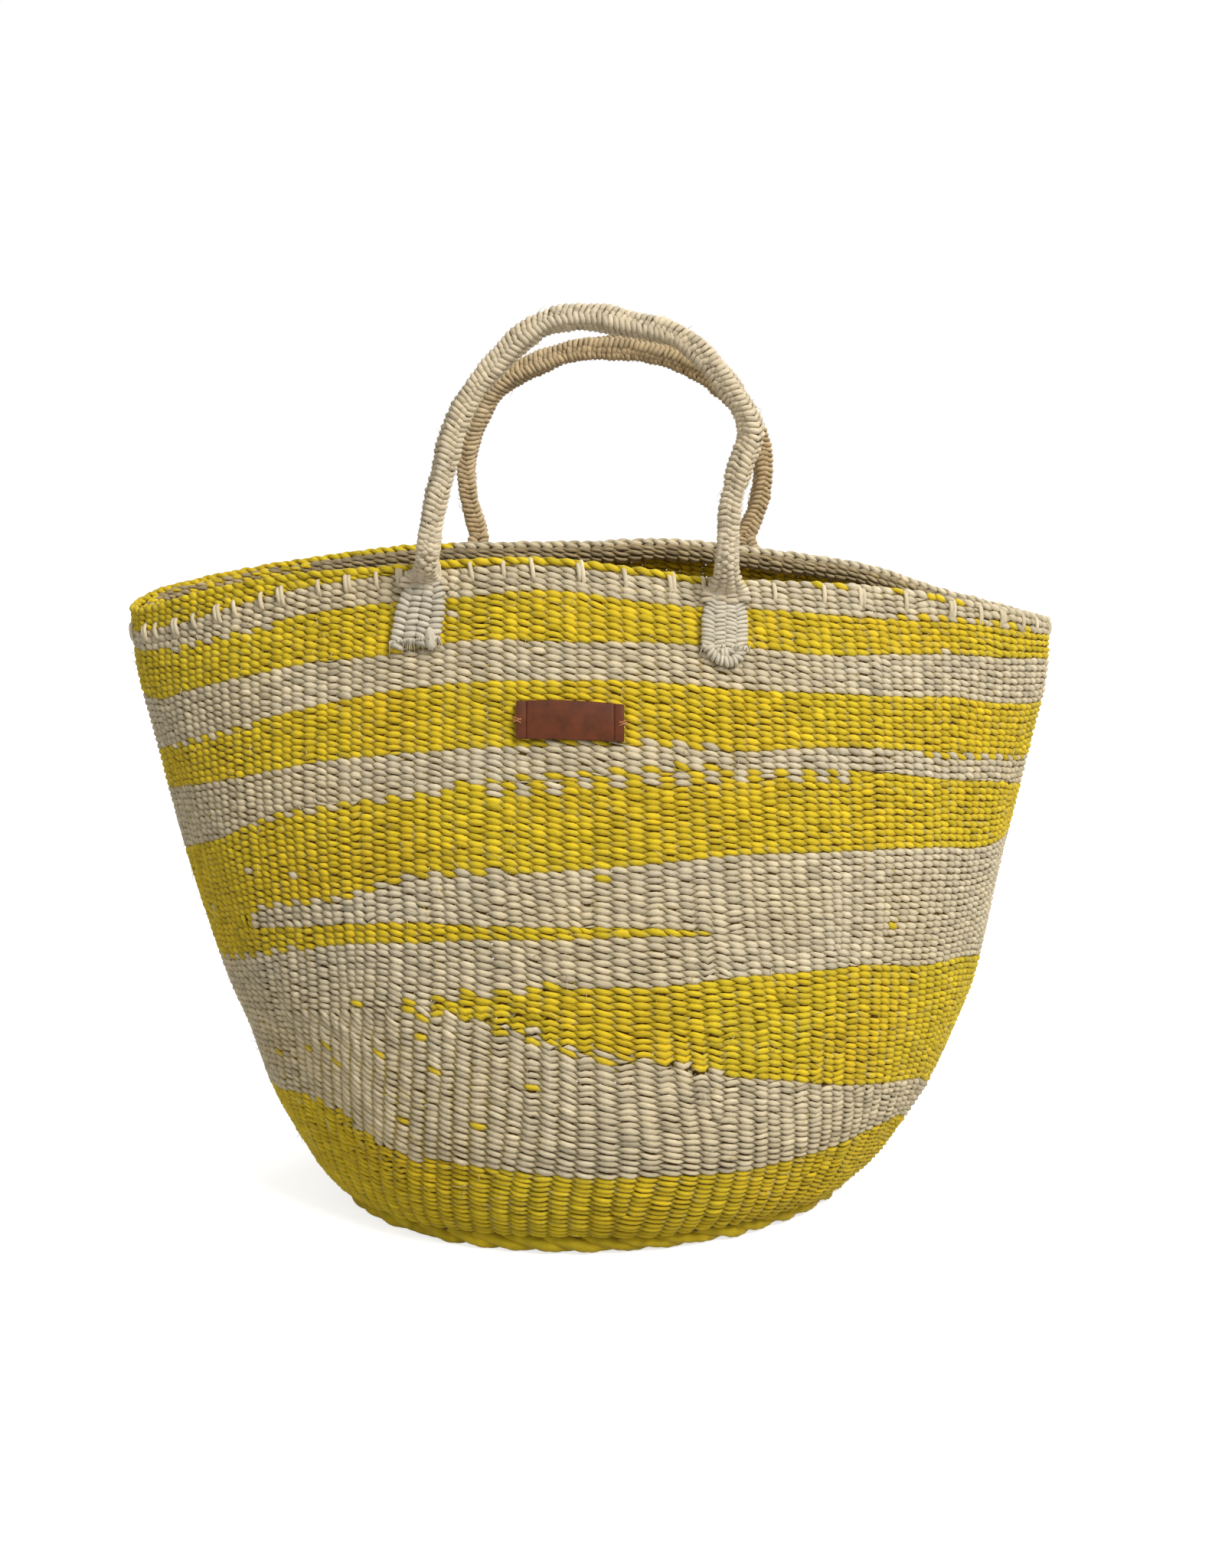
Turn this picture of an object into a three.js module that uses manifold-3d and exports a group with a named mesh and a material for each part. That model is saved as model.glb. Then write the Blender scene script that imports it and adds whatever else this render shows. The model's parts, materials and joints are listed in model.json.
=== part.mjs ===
import * as THREE from 'three';
import { mergeVertices } from 'three/addons/utils/BufferGeometryUtils.js';
import Module from 'manifold-3d';

const wasm = await Module();
wasm.setup();

// A twined sisal market basket, standing on its oval base, in millimetres.
// X runs along the mouth, -Y is the front with the leather label, +Z is up.
// The origin is the middle of the flat underside.

// Overall sizes of the woven body, measured on its outer face
const baseWidth = 246;
const baseDepth = 187;
const bellyDepth = 249;
const mouthWidth = 475;
const mouthDepth = 136;
const wallHeight = 336;
const wallThickness = 5;
const endDrop = 33;
const mouthLean = 6;
const baseSkew = 9;
const rimLift = 10;

// Edges of the body
const rimRollDiameter = 9;
const weltDiameter = 11;
const weftRowHeight = 3.6;
const pieceGap = 0.3;

// Base
const baseThickness = 6;
const startDiameter = 42;
const startProud = 1.5;
const startRound = 2;

// Handles: four cords under one wrapping, which splay into four ribs below the rim
const ribDiameter = 6.4;
const cordPress = 0.6;
const coreDiameter = 5;
const hingeAboveRim = 2.5;
const frontSpan = 141;
const frontRise = 111;
const frontShift = -5.8;
const backSpan = 148;
const backRise = 103;
const backShift = 12.5;

// Tabs, the splayed ends of the handles
const ribCount = 4;
const ribSpacing = 5.8;
const tabLength = 42;
const tabStand = 0.6;

// Leather label
const labelWidth = 50;
const labelHeight = 17.5;
const labelThickness = 2;
const labelShift = -9;
const labelBow = 0.8;

// How each size of the wall changes from the base edge, 0, to the mouth, 1
const stationShares = [0, 0.03, 0.07, 0.13, 0.2, 0.3, 0.4, 0.6, 0.8, 0.9, 1];
const heightShares = [0, 0.025, 0.061, 0.124, 0.199, 0.301, 0.403, 0.608, 0.807, 0.904, 1];
const widthShares = [0, 0.153, 0.26, 0.366, 0.476, 0.574, 0.673, 0.809, 0.9215, 0.982, 1];
const bellyShares = [0, 0.257, 0.55, 0.816, 1, 1.03, 1, 1, 1, 1, 1];
const squeezeShares = [0, 0, 0, 0, 0, 0.007, 0.04, 0.26, 0.59, 0.79, 1];
const dropShares = [0, 0, 0, 0.045, 0.12, 0.269, 0.42, 0.65, 0.88, 0.947, 1];
const leanShares = [0.06, 0.1, -0.06, -0.08, -0.1, -0.2, -0.02, 0.45, 0.7, 0.8, 0.95];
const skewShares = [1, 0.95, 0.85, 0.65, 0.4, 0.15, 0, 0, 0, 0, 0];
const liftShares = [0, 0, 0, 0, 0, 0, 0, 0, 0.15, 0.5, 1];

// How far the mouth rises or dips, by share of a turn from the right end round by the back
const rimWaveShares = [
  [0, 0.03], [0.05, 0], [0.1, -0.03], [0.14, 0.4], [0.18, 0.34], [0.22, 0.45], [0.25, 0.2], [0.28, 0.27],
  [0.32, 0.59], [0.36, 0.77], [0.4, 0.98], [0.45, 1.1], [0.5, 0.75], [0.55, 0.42], [0.6, 0.62],
  [0.64, 0.64], [0.68, 0.4], [0.71, 0.37], [0.735, 0.27], [0.76, -0.15], [0.79, -0.56], [0.82, -0.34],
  [0.86, -0.01], [0.9, 0.04], [0.95, 0.12],
];

// Colour lines of the weave: share of a turn, then share of the rows
const baseBandTopShares = [
  [0, 0.115], [0.12, 0.125], [0.25, 0.14], [0.38, 0.17], [0.5, 0.2], [0.53, 0.21], [0.56, 0.217],
  [0.59, 0.227], [0.62, 0.22], [0.65, 0.171], [0.68, 0.163], [0.71, 0.158], [0.74, 0.151], [0.77, 0.153],
  [0.8, 0.151], [0.83, 0.151], [0.86, 0.155], [0.89, 0.17], [0.92, 0.171], [0.95, 0.143], [0.98, 0.12],
];
const wedgeLowShares = [
  [0.685, 0.396], [0.71, 0.371], [0.74, 0.335], [0.77, 0.319], [0.8, 0.296], [0.83, 0.281], [0.86, 0.262],
  [0.89, 0.248], [0.92, 0.238], [0.95, 0.205], [1, 0.18], [1.1, 0.18], [1.2, 0.21], [1.3, 0.253],
];
const wedgeHighShares = [
  [0.685, 0.402], [0.71, 0.411], [0.74, 0.42], [0.77, 0.421], [0.8, 0.434], [0.83, 0.438], [0.86, 0.446],
  [0.89, 0.442], [0.92, 0.445], [0.96, 0.43], [1, 0.41], [1.1, 0.35], [1.2, 0.3], [1.3, 0.26],
];
const thinStripeLowShares = [
  [0.3, 0.538], [0.38, 0.46], [0.46, 0.425], [0.53, 0.425], [0.56, 0.431], [0.59, 0.446], [0.62, 0.466],
  [0.65, 0.48], [0.68, 0.482], [0.71, 0.487], [0.74, 0.485], [0.79, 0.489],
];
const thinStripeHighShares = [
  [0.58, 0.49], [0.62, 0.502], [0.65, 0.508], [0.68, 0.509], [0.71, 0.504], [0.74, 0.501], [0.79, 0.495],
];
const wideBandLowShares = [
  [0, 0.63], [0.12, 0.6], [0.25, 0.565], [0.38, 0.53], [0.5, 0.506], [0.53, 0.505], [0.56, 0.501],
  [0.59, 0.514], [0.62, 0.532], [0.65, 0.541], [0.68, 0.565], [0.71, 0.57], [0.74, 0.576], [0.77, 0.585],
  [0.8, 0.599], [0.83, 0.608], [0.86, 0.615], [0.89, 0.618], [0.92, 0.617], [0.95, 0.625], [0.98, 0.634],
];
const wideBandHighShares = [
  [0, 0.715], [0.12, 0.69], [0.25, 0.66], [0.38, 0.62], [0.5, 0.6], [0.53, 0.61], [0.56, 0.625],
  [0.59, 0.639], [0.62, 0.665], [0.65, 0.674], [0.68, 0.684], [0.71, 0.693], [0.74, 0.7], [0.77, 0.711],
  [0.8, 0.719], [0.83, 0.723], [0.86, 0.725], [0.89, 0.723], [0.92, 0.723], [0.95, 0.724], [0.98, 0.721],
];
const middleBandLowShares = [
  [0, 0.77], [0.12, 0.75], [0.25, 0.735], [0.38, 0.72], [0.5, 0.714], [0.53, 0.715], [0.56, 0.719],
  [0.59, 0.723], [0.62, 0.729], [0.65, 0.736], [0.68, 0.74], [0.71, 0.745], [0.74, 0.744], [0.77, 0.747],
  [0.8, 0.744], [0.83, 0.753], [0.86, 0.759], [0.89, 0.765], [0.92, 0.769], [0.95, 0.771], [0.98, 0.773],
];
const middleBandHighShares = [
  [0, 0.86], [0.12, 0.835], [0.25, 0.815], [0.38, 0.79], [0.5, 0.777], [0.53, 0.782], [0.56, 0.789],
  [0.59, 0.795], [0.62, 0.805], [0.65, 0.817], [0.68, 0.828], [0.71, 0.835], [0.74, 0.834], [0.77, 0.834],
  [0.8, 0.83], [0.83, 0.832], [0.86, 0.836], [0.89, 0.849], [0.92, 0.852], [0.95, 0.856], [0.98, 0.864],
];
const upperBandLowShares = [
  [0, 0.928], [0.12, 0.91], [0.25, 0.89], [0.38, 0.875], [0.5, 0.867], [0.53, 0.864], [0.56, 0.859],
  [0.59, 0.863], [0.62, 0.869], [0.65, 0.878], [0.68, 0.879], [0.71, 0.89], [0.74, 0.886], [0.77, 0.89],
  [0.8, 0.892], [0.83, 0.889], [0.86, 0.901], [0.89, 0.914], [0.92, 0.923], [0.95, 0.929], [0.98, 0.929],
];
const upperBandHighShares = [
  [0, 0.97], [0.12, 0.958], [0.25, 0.95], [0.38, 0.943], [0.5, 0.938], [0.53, 0.936], [0.56, 0.933],
  [0.59, 0.931], [0.62, 0.933], [0.65, 0.944], [0.68, 0.95], [0.71, 0.948], [0.74, 0.954], [0.77, 0.949],
  [0.8, 0.953], [0.83, 0.951], [0.86, 0.953], [0.89, 0.963], [0.92, 0.967], [0.95, 0.968], [0.98, 0.969],
];
const rimRowLowShares = [
  [0.3, 0.988], [0.42, 0.984], [0.5, 0.966], [0.56, 0.964], [0.59, 0.963], [0.62, 0.969], [0.65, 0.979],
  [0.68, 0.986], [0.79, 0.988],
];
const rimRowSpanShares = [0.3, 0.79];
const tongueStartShare = 0.59;

// Centre line of each handle: share of half the span of its legs, then share of its rise
const frontHandleShares = [
  [-1, 0], [-0.98, 0.1], [-0.94, 0.24], [-0.88, 0.38], [-0.81, 0.545], [-0.68, 0.7], [-0.47, 0.85],
  [-0.33, 0.93], [-0.165, 0.985], [0, 1], [0.17, 0.995], [0.33, 0.973], [0.5, 0.954], [0.64, 0.928],
  [0.77, 0.873], [0.9, 0.79], [1.02, 0.695], [1.125, 0.585], [1.145, 0.51], [1.107, 0.44], [1.065, 0.355],
  [1.03, 0.27], [1.012, 0.195], [1.005, 0.1], [1, 0],
];
const backHandleShares = [
  [-1, 0], [-1.03, 0.09], [-1.07, 0.2], [-1.09, 0.36], [-1.083, 0.44], [-1.06, 0.53], [-1, 0.63],
  [-0.905, 0.75], [-0.78, 0.837], [-0.66, 0.883], [-0.53, 0.924], [-0.38, 0.965], [-0.265, 0.987],
  [-0.11, 0.997], [0.04, 1], [0.19, 0.992], [0.32, 0.974], [0.455, 0.946], [0.585, 0.909], [0.71, 0.857],
  [0.855, 0.765], [0.97, 0.68], [1.055, 0.592], [1.1, 0.495], [1.12, 0.4], [1.125, 0.304], [1.11, 0.223],
  [1.076, 0.128], [1.03, 0.05], [1, 0],
];

// How far the wrapping's section has opened at the rounded ends of a handle
const endOpenShares = [0.83, 0.95];

// Rows of a tab where its ribs lie on the wall, from its foot up
const tabRowShares = [0, 0.3, 0.6];

// Where the label's middle lies on the wall, how far each tab's foot lies aside, and how long each tab is
const labelRowShare = 0.779;
const tabSkewShares = { front_left: -0.16, front_right: -0.04, back_left: -0.1, back_right: 0.1 };
const tabLengthShares = { front_left: 0.94, front_right: 1.1, back_left: 1, back_right: 1 };

// Counts of facets
const wallColumns = 54;
const cordSides = 8;
const handleSteps = 24;
const tabSteps = 6;
const labelColumns = 8;

// Sizes that follow from the ones above
const weltShare = (weltDiameter / 2 / wallHeight) * (stationShares[1] / heightShares[1]);
const cordSpacing = ribDiameter - cordPress;
const cordOffset = cordSpacing / 2;
const neckSpacing = cordSpacing / (ribCount - 1);
const handleReach = cordOffset * Math.SQRT2 + ribDiameter / 2;
const coreReach = Math.sqrt(handleReach ** 2 - (coreDiameter / 2) ** 2);
const mouthMiddleX = -mouthLean;

// Smooth value of a table of values at the given stations
function along(stations, values, share) {
  const last = stations.length - 1;
  const at = THREE.MathUtils.clamp(share, stations[0], stations[last]);
  let i = 0;
  while (i < last - 1 && at > stations[i + 1]) i += 1;
  const slope = (a, b) => (values[b] - values[a]) / (stations[b] - stations[a]);
  const tangent = (k) => slope(Math.max(k - 1, 0), Math.min(k + 1, last));
  const step = stations[i + 1] - stations[i];
  const s = (at - stations[i]) / step;
  const rise = s * s * (3 - 2 * s);
  const leave = s * (1 - s) * (1 - s) * step * tangent(i);
  const arrive = s * s * (s - 1) * step * tangent(i + 1);
  return values[i] * (1 - rise) + values[i + 1] * rise + leave + arrive;
}

// Row share of a colour line at a share of a turn; a line that goes all round closes on itself
function lineAt(shares, turn) {
  const closed = shares[0][0] === 0;
  const points = closed ? closedLine(shares) : shares;
  const at = closed ? turn - Math.floor(turn) : turn;
  return along(points.map((p) => p[0]), points.map((p) => p[1]), at);
}

function closedLine(shares) {
  const before = shares[shares.length - 1];
  const after = shares[1];
  return [[before[0] - 1, before[1]], ...shares, [1, shares[0][1]], [1 + after[0], after[1]]];
}

// Sizes of the wall's middle surface at a share of its rows
function section(row) {
  const size = (shares) => along(stationShares, shares, row);
  const belly = baseDepth + (bellyDepth - baseDepth) * size(bellyShares);
  const width = baseWidth + (mouthWidth - baseWidth) * size(widthShares);
  const depth = belly + (mouthDepth - belly) * size(squeezeShares);
  return {
    halfWidth: (width - wallThickness) / 2,
    halfDepth: (depth - wallThickness) / 2,
    height: wallHeight * size(heightShares),
    drop: endDrop * size(dropShares),
    lean: mouthLean * size(leanShares),
    skew: baseSkew * size(skewShares),
    lift: rimLift * size(liftShares),
  };
}

function middlePoint(turn, row) {
  const s = section(row);
  const angle = turn * 2 * Math.PI;
  const x = s.halfWidth * Math.cos(angle) - s.lean;
  const y = s.halfDepth * Math.sin(angle) + s.skew * Math.cos(angle);
  const z = s.height - s.drop * Math.cos(angle) ** 2 + s.lift * lineAt(rimWaveShares, turn);
  return new THREE.Vector3(x, y, z);
}

// The wall at a point: the way up its rows, the way outward, and its length per share of rows
function wallFrame(turn, row) {
  const smallShare = 0.001;
  const at = Math.min(Math.max(row, smallShare), 1 - smallShare);
  const round = middlePoint(turn + smallShare, at).sub(middlePoint(turn - smallShare, at));
  const up = middlePoint(turn, at + smallShare).sub(middlePoint(turn, at - smallShare));
  const run = up.length() / (2 * smallShare);
  const normal = round.cross(up).normalize();
  return { up: up.normalize(), normal, run };
}

// Point of the wall moved outward from its middle surface
function wallPoint(turn, row, outward) {
  return middlePoint(turn, row).addScaledVector(wallFrame(turn, row).normal, outward);
}

// Share of the rows that a real distance up the wall takes there
function rowsFor(distance, turn, row) {
  return distance / wallFrame(turn, row).run;
}

// Turn at which the front (-1) or the back (1) of the wall has a given distance from the middle of the mouth
function turnAt(aside, row, side) {
  const s = section(row);
  const x = mouthMiddleX + aside + s.lean;
  const angle = Math.acos(THREE.MathUtils.clamp(x / s.halfWidth, -1, 1));
  return (side < 0 ? 2 * Math.PI - angle : angle) / (2 * Math.PI);
}

// Closed body from the corners of its triangles, turned so that its faces point out
function closedBody(corners) {
  let volume = 0;
  for (let i = 0; i < corners.length; i += 3) {
    const [a, b, c] = corners.slice(i, i + 3);
    volume += a.dot(b.clone().cross(c));
  }
  const facing = volume < 0 ? corners.slice().reverse() : corners;
  return new THREE.BufferGeometry().setFromPoints(facing);
}

// Closed body from a grid of outer points and a grid of inner points, both [column][level]
function shellBody(outer, inner, ring) {
  const columns = outer.length;
  const levels = outer[0].length;
  const corners = [];
  const quad = (a, b, c, d) => corners.push(a, b, c, a, c, d);
  const spans = ring ? columns : columns - 1;
  for (let i = 0; i < spans; i += 1) {
    const k = (i + 1) % columns;
    for (let j = 0; j < levels - 1; j += 1) {
      quad(outer[i][j], outer[k][j], outer[k][j + 1], outer[i][j + 1]);
      quad(inner[i][j], inner[i][j + 1], inner[k][j + 1], inner[k][j]);
    }
    quad(outer[i][levels - 1], outer[k][levels - 1], inner[k][levels - 1], inner[i][levels - 1]);
    quad(outer[i][0], inner[i][0], inner[k][0], outer[k][0]);
  }
  if (!ring) {
    for (let j = 0; j < levels - 1; j += 1) {
      const end = columns - 1;
      quad(outer[0][j], outer[0][j + 1], inner[0][j + 1], inner[0][j]);
      quad(outer[end][j], inner[end][j], inner[end][j + 1], outer[end][j + 1]);
    }
  }
  return closedBody(corners);
}

// Columns of the wall between two turns, on the same grid for every piece
function columnTurns(from, to) {
  const turns = [from];
  const first = Math.floor(from * wallColumns) + 1;
  const clear = 0.2;
  for (let k = first; k < to * wallColumns; k += 1) {
    if (k - from * wallColumns > clear && to * wallColumns - k > clear) turns.push(k / wallColumns);
  }
  if (to - from < 1) turns.push(to);
  return turns;
}

// A run of weft between two colour lines: a ring, or a strip between two turns
function wovenRun({ low, high, levels, from = 0, to = 1, grow = 0, extraThickness = 0 }) {
  const half = (wallThickness + extraThickness) / 2;
  const turns = columnTurns(from, to);
  const grid = (outward) => turns.map((turn) => {
    const start = low(turn) + rowsFor(pieceGap / 2 - grow, turn, low(turn));
    const end = high(turn) - rowsFor(pieceGap / 2 - grow, turn, high(turn));
    const column = [];
    for (let j = 0; j <= levels; j += 1) {
      column.push(wallPoint(turn, start + (end - start) * (j / levels), outward));
    }
    return column;
  });
  return shellBody(grid(half), grid(-half), to - from === 1);
}

// A tube through rings of points, with its ends closed, or as a ring that closes on itself
function ringLoft(rings, closed) {
  const corners = [];
  const sides = rings[0].length;
  const spans = closed ? rings.length : rings.length - 1;
  for (let i = 0; i < spans; i += 1) {
    const next = rings[(i + 1) % rings.length];
    for (let j = 0; j < sides; j += 1) {
      const k = (j + 1) % sides;
      corners.push(rings[i][j], next[j], next[k], rings[i][j], next[k], rings[i][k]);
    }
  }
  if (!closed) {
    const last = rings[rings.length - 1];
    for (let j = 1; j < sides - 1; j += 1) {
      corners.push(rings[0][0], rings[0][j], rings[0][j + 1], last[0], last[j + 1], last[j]);
    }
  }
  return closedBody(corners);
}

// Solids for cutting and joining
function toSolid(geometry) {
  const plain = geometry.clone();
  plain.deleteAttribute('normal');
  plain.deleteAttribute('uv');
  const merged = mergeVertices(plain);
  const vertProperties = new Float32Array(merged.attributes.position.array);
  const triVerts = new Uint32Array(merged.index.array);
  return new wasm.Manifold(new wasm.Mesh({ numProp: 3, vertProperties, triVerts }));
}

function fromSolid(solid) {
  const mesh = solid.getMesh();
  const geometry = new THREE.BufferGeometry();
  geometry.setAttribute('position', new THREE.BufferAttribute(mesh.vertProperties, mesh.numProp));
  geometry.setIndex(new THREE.BufferAttribute(mesh.triVerts, 1));
  return geometry;
}

// Yarns and leather
const naturalSisal = { color: 0xcdbf9f, roughness: 0.85, metalness: 0 };
const yellowSisal = { color: 0xd9b42a, roughness: 0.8, metalness: 0 };
const handleSisal = { color: 0xd6cab0, roughness: 0.85, metalness: 0 };
const coreSisal = { color: 0xb9a67e, roughness: 0.9, metalness: 0 };
const brownLeather = { color: 0x7a3f28, roughness: 0.55, metalness: 0 };

const basket = new THREE.Group();

function addPiece(name, geometry, finish) {
  const mesh = new THREE.Mesh(geometry, new THREE.MeshStandardMaterial(finish));
  mesh.name = name;
  basket.add(mesh);
  return mesh;
}

// Base: a start of crossed warps, the oval disc woven round it and the cord welt round its edge
function weltPoint(turn, around) {
  const radius = weltDiameter / 2;
  const outward = wallFrame(turn, weltShare).normal.setZ(0).normalize();
  const point = middlePoint(turn, weltShare).addScaledVector(outward, radius * Math.cos(around));
  point.z = radius * (Math.sin(around) + Math.cos(Math.PI / cordSides));
  return point;
}

function cordRing(pointAt) {
  const rings = [];
  for (let i = 0; i < wallColumns; i += 1) {
    const ring = [];
    for (let j = 0; j < cordSides; j += 1) {
      ring.push(pointAt(i / wallColumns, ((j + 0.5) / cordSides) * 2 * Math.PI));
    }
    rings.push(ring);
  }
  return ringLoft(rings, true);
}

function baseDisc() {
  const inset = weltDiameter / 2 + pieceGap;
  const edge = Array.from({ length: wallColumns }, (_, i) => {
    const inward = wallFrame(i / wallColumns, weltShare).normal.setZ(0).normalize();
    const point = middlePoint(i / wallColumns, weltShare).addScaledVector(inward, -inset);
    return new THREE.Vector2(point.x, point.y);
  });
  const outline = new THREE.Shape(edge);
  const hole = new THREE.Path();
  hole.absarc(0, 0, startDiameter / 2 + pieceGap, 0, 2 * Math.PI, true);
  outline.holes.push(hole);
  return new THREE.ExtrudeGeometry(outline, {
    depth: baseThickness, bevelEnabled: false, curveSegments: wallColumns / 2,
  });
}

function baseStart() {
  const radius = startDiameter / 2;
  const top = baseThickness + startProud;
  const profile = [
    new THREE.Vector2(0, 0),
    new THREE.Vector2(radius, 0),
    new THREE.Vector2(radius, top - startRound),
    new THREE.Vector2(radius - startRound, top),
    new THREE.Vector2(0, top),
  ];
  return new THREE.LatheGeometry(profile, wallColumns / 2).rotateX(Math.PI / 2);
}

addPiece('base_start', baseStart(), yellowSisal);
addPiece('base_disc', baseDisc(), yellowSisal);
addPiece('base_welt', cordRing(weltPoint), yellowSisal);

// Wall: one piece for each run of weft yarn of one colour, from the base up
const line = (shares) => (turn) => lineAt(shares, turn);
const wideBandLow = line(wideBandLowShares);
const wedgeRange = { from: wedgeLowShares[0][0], to: wedgeLowShares.at(-1)[0] };
const stripeRange = { from: thinStripeLowShares[0][0], to: thinStripeLowShares.at(-1)[0] };

// The thin stripe touches the wide band up to the turn where a tongue of natural yarn starts between them
function stripeHigh(turn) {
  return turn < tongueStartShare ? wideBandLow(turn) : lineAt(thinStripeHighShares, turn);
}

const wedge = { low: line(wedgeLowShares), high: line(wedgeHighShares), levels: 2 };
const thinStripe = { low: line(thinStripeLowShares), high: stripeHigh, levels: 1 };

// Room for a strip in the ground round it, with the gap on all sides
function roomFor(strip, range, high) {
  const girth = Math.PI * bellyDepth;
  return toSolid(wovenRun({
    ...strip,
    high,
    from: range.from - pieceGap / girth,
    to: range.to + pieceGap / girth,
    grow: pieceGap,
    extraThickness: wallThickness,
  }));
}

function naturalGround() {
  const ground = toSolid(wovenRun({ low: line(baseBandTopShares), high: wideBandLow, levels: 4 }));
  const openTop = (turn) => {
    const extra = turn < tongueStartShare ? rowsFor(weftRowHeight, turn, wideBandLow(turn)) : 0;
    return stripeHigh(turn) + extra;
  };
  const wedgeRoom = roomFor(wedge, wedgeRange, wedge.high);
  const stripeRoom = roomFor(thinStripe, stripeRange, openTop);
  return fromSolid(ground.subtract(wedgeRoom).subtract(stripeRoom));
}

// Rows where the wall starts on the welt, and where the yellow rows along the rim start
const wallStart = (turn) => weltShare + rowsFor(weltDiameter / 2 + 2 * pieceGap, turn, weltShare);
const rimRowLow = line(rimRowLowShares);
const rimRowRange = {
  from: Math.ceil(rimRowSpanShares[0] * wallColumns) / wallColumns,
  to: Math.floor(rimRowSpanShares[1] * wallColumns) / wallColumns,
};

function topBandHigh(turn) {
  const at = turn - Math.floor(turn);
  const smallShare = 0.001;
  const under = at > rimRowRange.from - smallShare && at < rimRowRange.to + smallShare;
  return under ? rimRowLow(turn) : 1;
}

const baseBand = wovenRun({ low: wallStart, high: line(baseBandTopShares), levels: 3 });
addPiece('wall_base_yellow_band', baseBand, yellowSisal);
addPiece('wall_natural_ground', naturalGround(), naturalSisal);
addPiece('wall_yellow_wedge', wovenRun({ ...wedge, ...wedgeRange }), yellowSisal);
addPiece('wall_yellow_thin_stripe', wovenRun({ ...thinStripe, ...stripeRange }), yellowSisal);

const upperRuns = [
  ['wall_yellow_wide_band', wideBandLowShares, wideBandHighShares, 2, yellowSisal],
  ['wall_natural_third_band', wideBandHighShares, middleBandLowShares, 1, naturalSisal],
  ['wall_yellow_middle_band', middleBandLowShares, middleBandHighShares, 1, yellowSisal],
  ['wall_natural_second_band', middleBandHighShares, upperBandLowShares, 1, naturalSisal],
  ['wall_yellow_upper_band', upperBandLowShares, upperBandHighShares, 1, yellowSisal],
];
for (const [name, lowShares, highShares, levels, finish] of upperRuns) {
  addPiece(name, wovenRun({ low: line(lowShares), high: line(highShares), levels }), finish);
}
const topBand = wovenRun({ low: line(upperBandHighShares), high: topBandHigh, levels: 1 });
addPiece('wall_natural_top_band', topBand, naturalSisal);
const yellowRow = wovenRun({ low: rimRowLow, high: () => 1, levels: 1, ...rimRowRange });
addPiece('rim_yellow_row', yellowRow, yellowSisal);

// Rim: the warp ends turned in and bound into one thick roll along the inside of the mouth
function rimPoint(turn, around) {
  const radius = rimRollDiameter / 2;
  const { up, normal } = wallFrame(turn, 1);
  const inward = wallThickness / 2 + pieceGap + radius;
  const centre = wallPoint(turn, 1 - rowsFor(radius, turn, 1), -inward);
  centre.addScaledVector(normal, radius * Math.cos(around));
  return centre.addScaledVector(up, radius * Math.sin(around));
}
addPiece('rim_roll', cordRing(rimPoint), naturalSisal);

// Hinge line of a handle: its four cords stand outside the wall, a little above the rim
function hingeLine(side, shift, span) {
  const legs = [-1, 1].map((hand) => shift + (hand * span) / 2);
  const rimTops = legs.map((aside) => middlePoint(turnAt(aside, 1, side), 1).z);
  const z = Math.max(...rimTops) + hingeAboveRim;
  const neckRow = 1 - rowsFor(handleReach + ribDiameter, 0.25, 1);
  const depths = legs.flatMap((aside) => [1, neckRow].map((row) => (
    Math.abs(wallPoint(turnAt(aside, row, side), row, wallThickness / 2 + tabStand).y)
  )));
  return { x: mouthMiddleX + shift, y: side * (Math.max(...depths) + ribDiameter), z };
}

// Centre line of a handle, from one end of its core to the other
function handlePath(shares, span, rise, hinge) {
  const points = shares.map(([hand, up]) => (
    new THREE.Vector3(hinge.x + (hand * span) / 2, hinge.y, hinge.z + up * rise)
  ));
  const ends = [points[0], points[points.length - 1]].map((point) => (
    point.clone().add(new THREE.Vector3(0, 0, -coreReach))
  ));
  return new THREE.CatmullRomCurve3([ends[0], ...points, ends[1]], false, 'centripetal');
}

// Stations along a handle: where the section stands, which way it looks and how far it has opened
function handleStations(path) {
  const length = path.getLength();
  const stations = [];
  const add = (distance, open) => stations.push({
    centre: path.getPointAt(distance / length),
    tangent: path.getTangentAt(distance / length),
    open,
  });
  const ends = endOpenShares.map((open) => [coreReach - handleReach * Math.sqrt(1 - open ** 2), open]);
  add(0, 0);
  ends.forEach(([distance, open]) => add(distance, open));
  for (let i = 0; i <= handleSteps; i += 1) {
    add(coreReach + (length - 2 * coreReach) * (i / handleSteps), 1);
  }
  ends.reverse().forEach(([distance, open]) => add(length - distance, open));
  add(length, 0);
  return stations;
}

// Reach of the four cords laid square, from the middle of the section
function cordReach(around) {
  const quarter = Math.PI / 2;
  const offCorner = (around % quarter) - quarter / 2;
  const corner = cordOffset * Math.SQRT2;
  const across = corner * Math.sin(offCorner);
  return corner * Math.cos(offCorner) + Math.sqrt(ribDiameter ** 2 / 4 - across ** 2);
}

function stationRing(station, sides, reachAt) {
  const outward = new THREE.Vector3(0, 1, 0);
  const across = outward.clone().cross(station.tangent).normalize();
  const ring = [];
  for (let j = 0; j < sides; j += 1) {
    const around = (j / sides) * 2 * Math.PI;
    const reach = reachAt(around);
    const point = station.centre.clone().addScaledVector(outward, reach * Math.cos(around));
    ring.push(point.addScaledVector(across, reach * Math.sin(around)));
  }
  return ring;
}

function handleCore(stations) {
  return ringLoft(stations.map((station) => stationRing(station, cordSides, () => coreDiameter / 2)), false);
}

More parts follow.
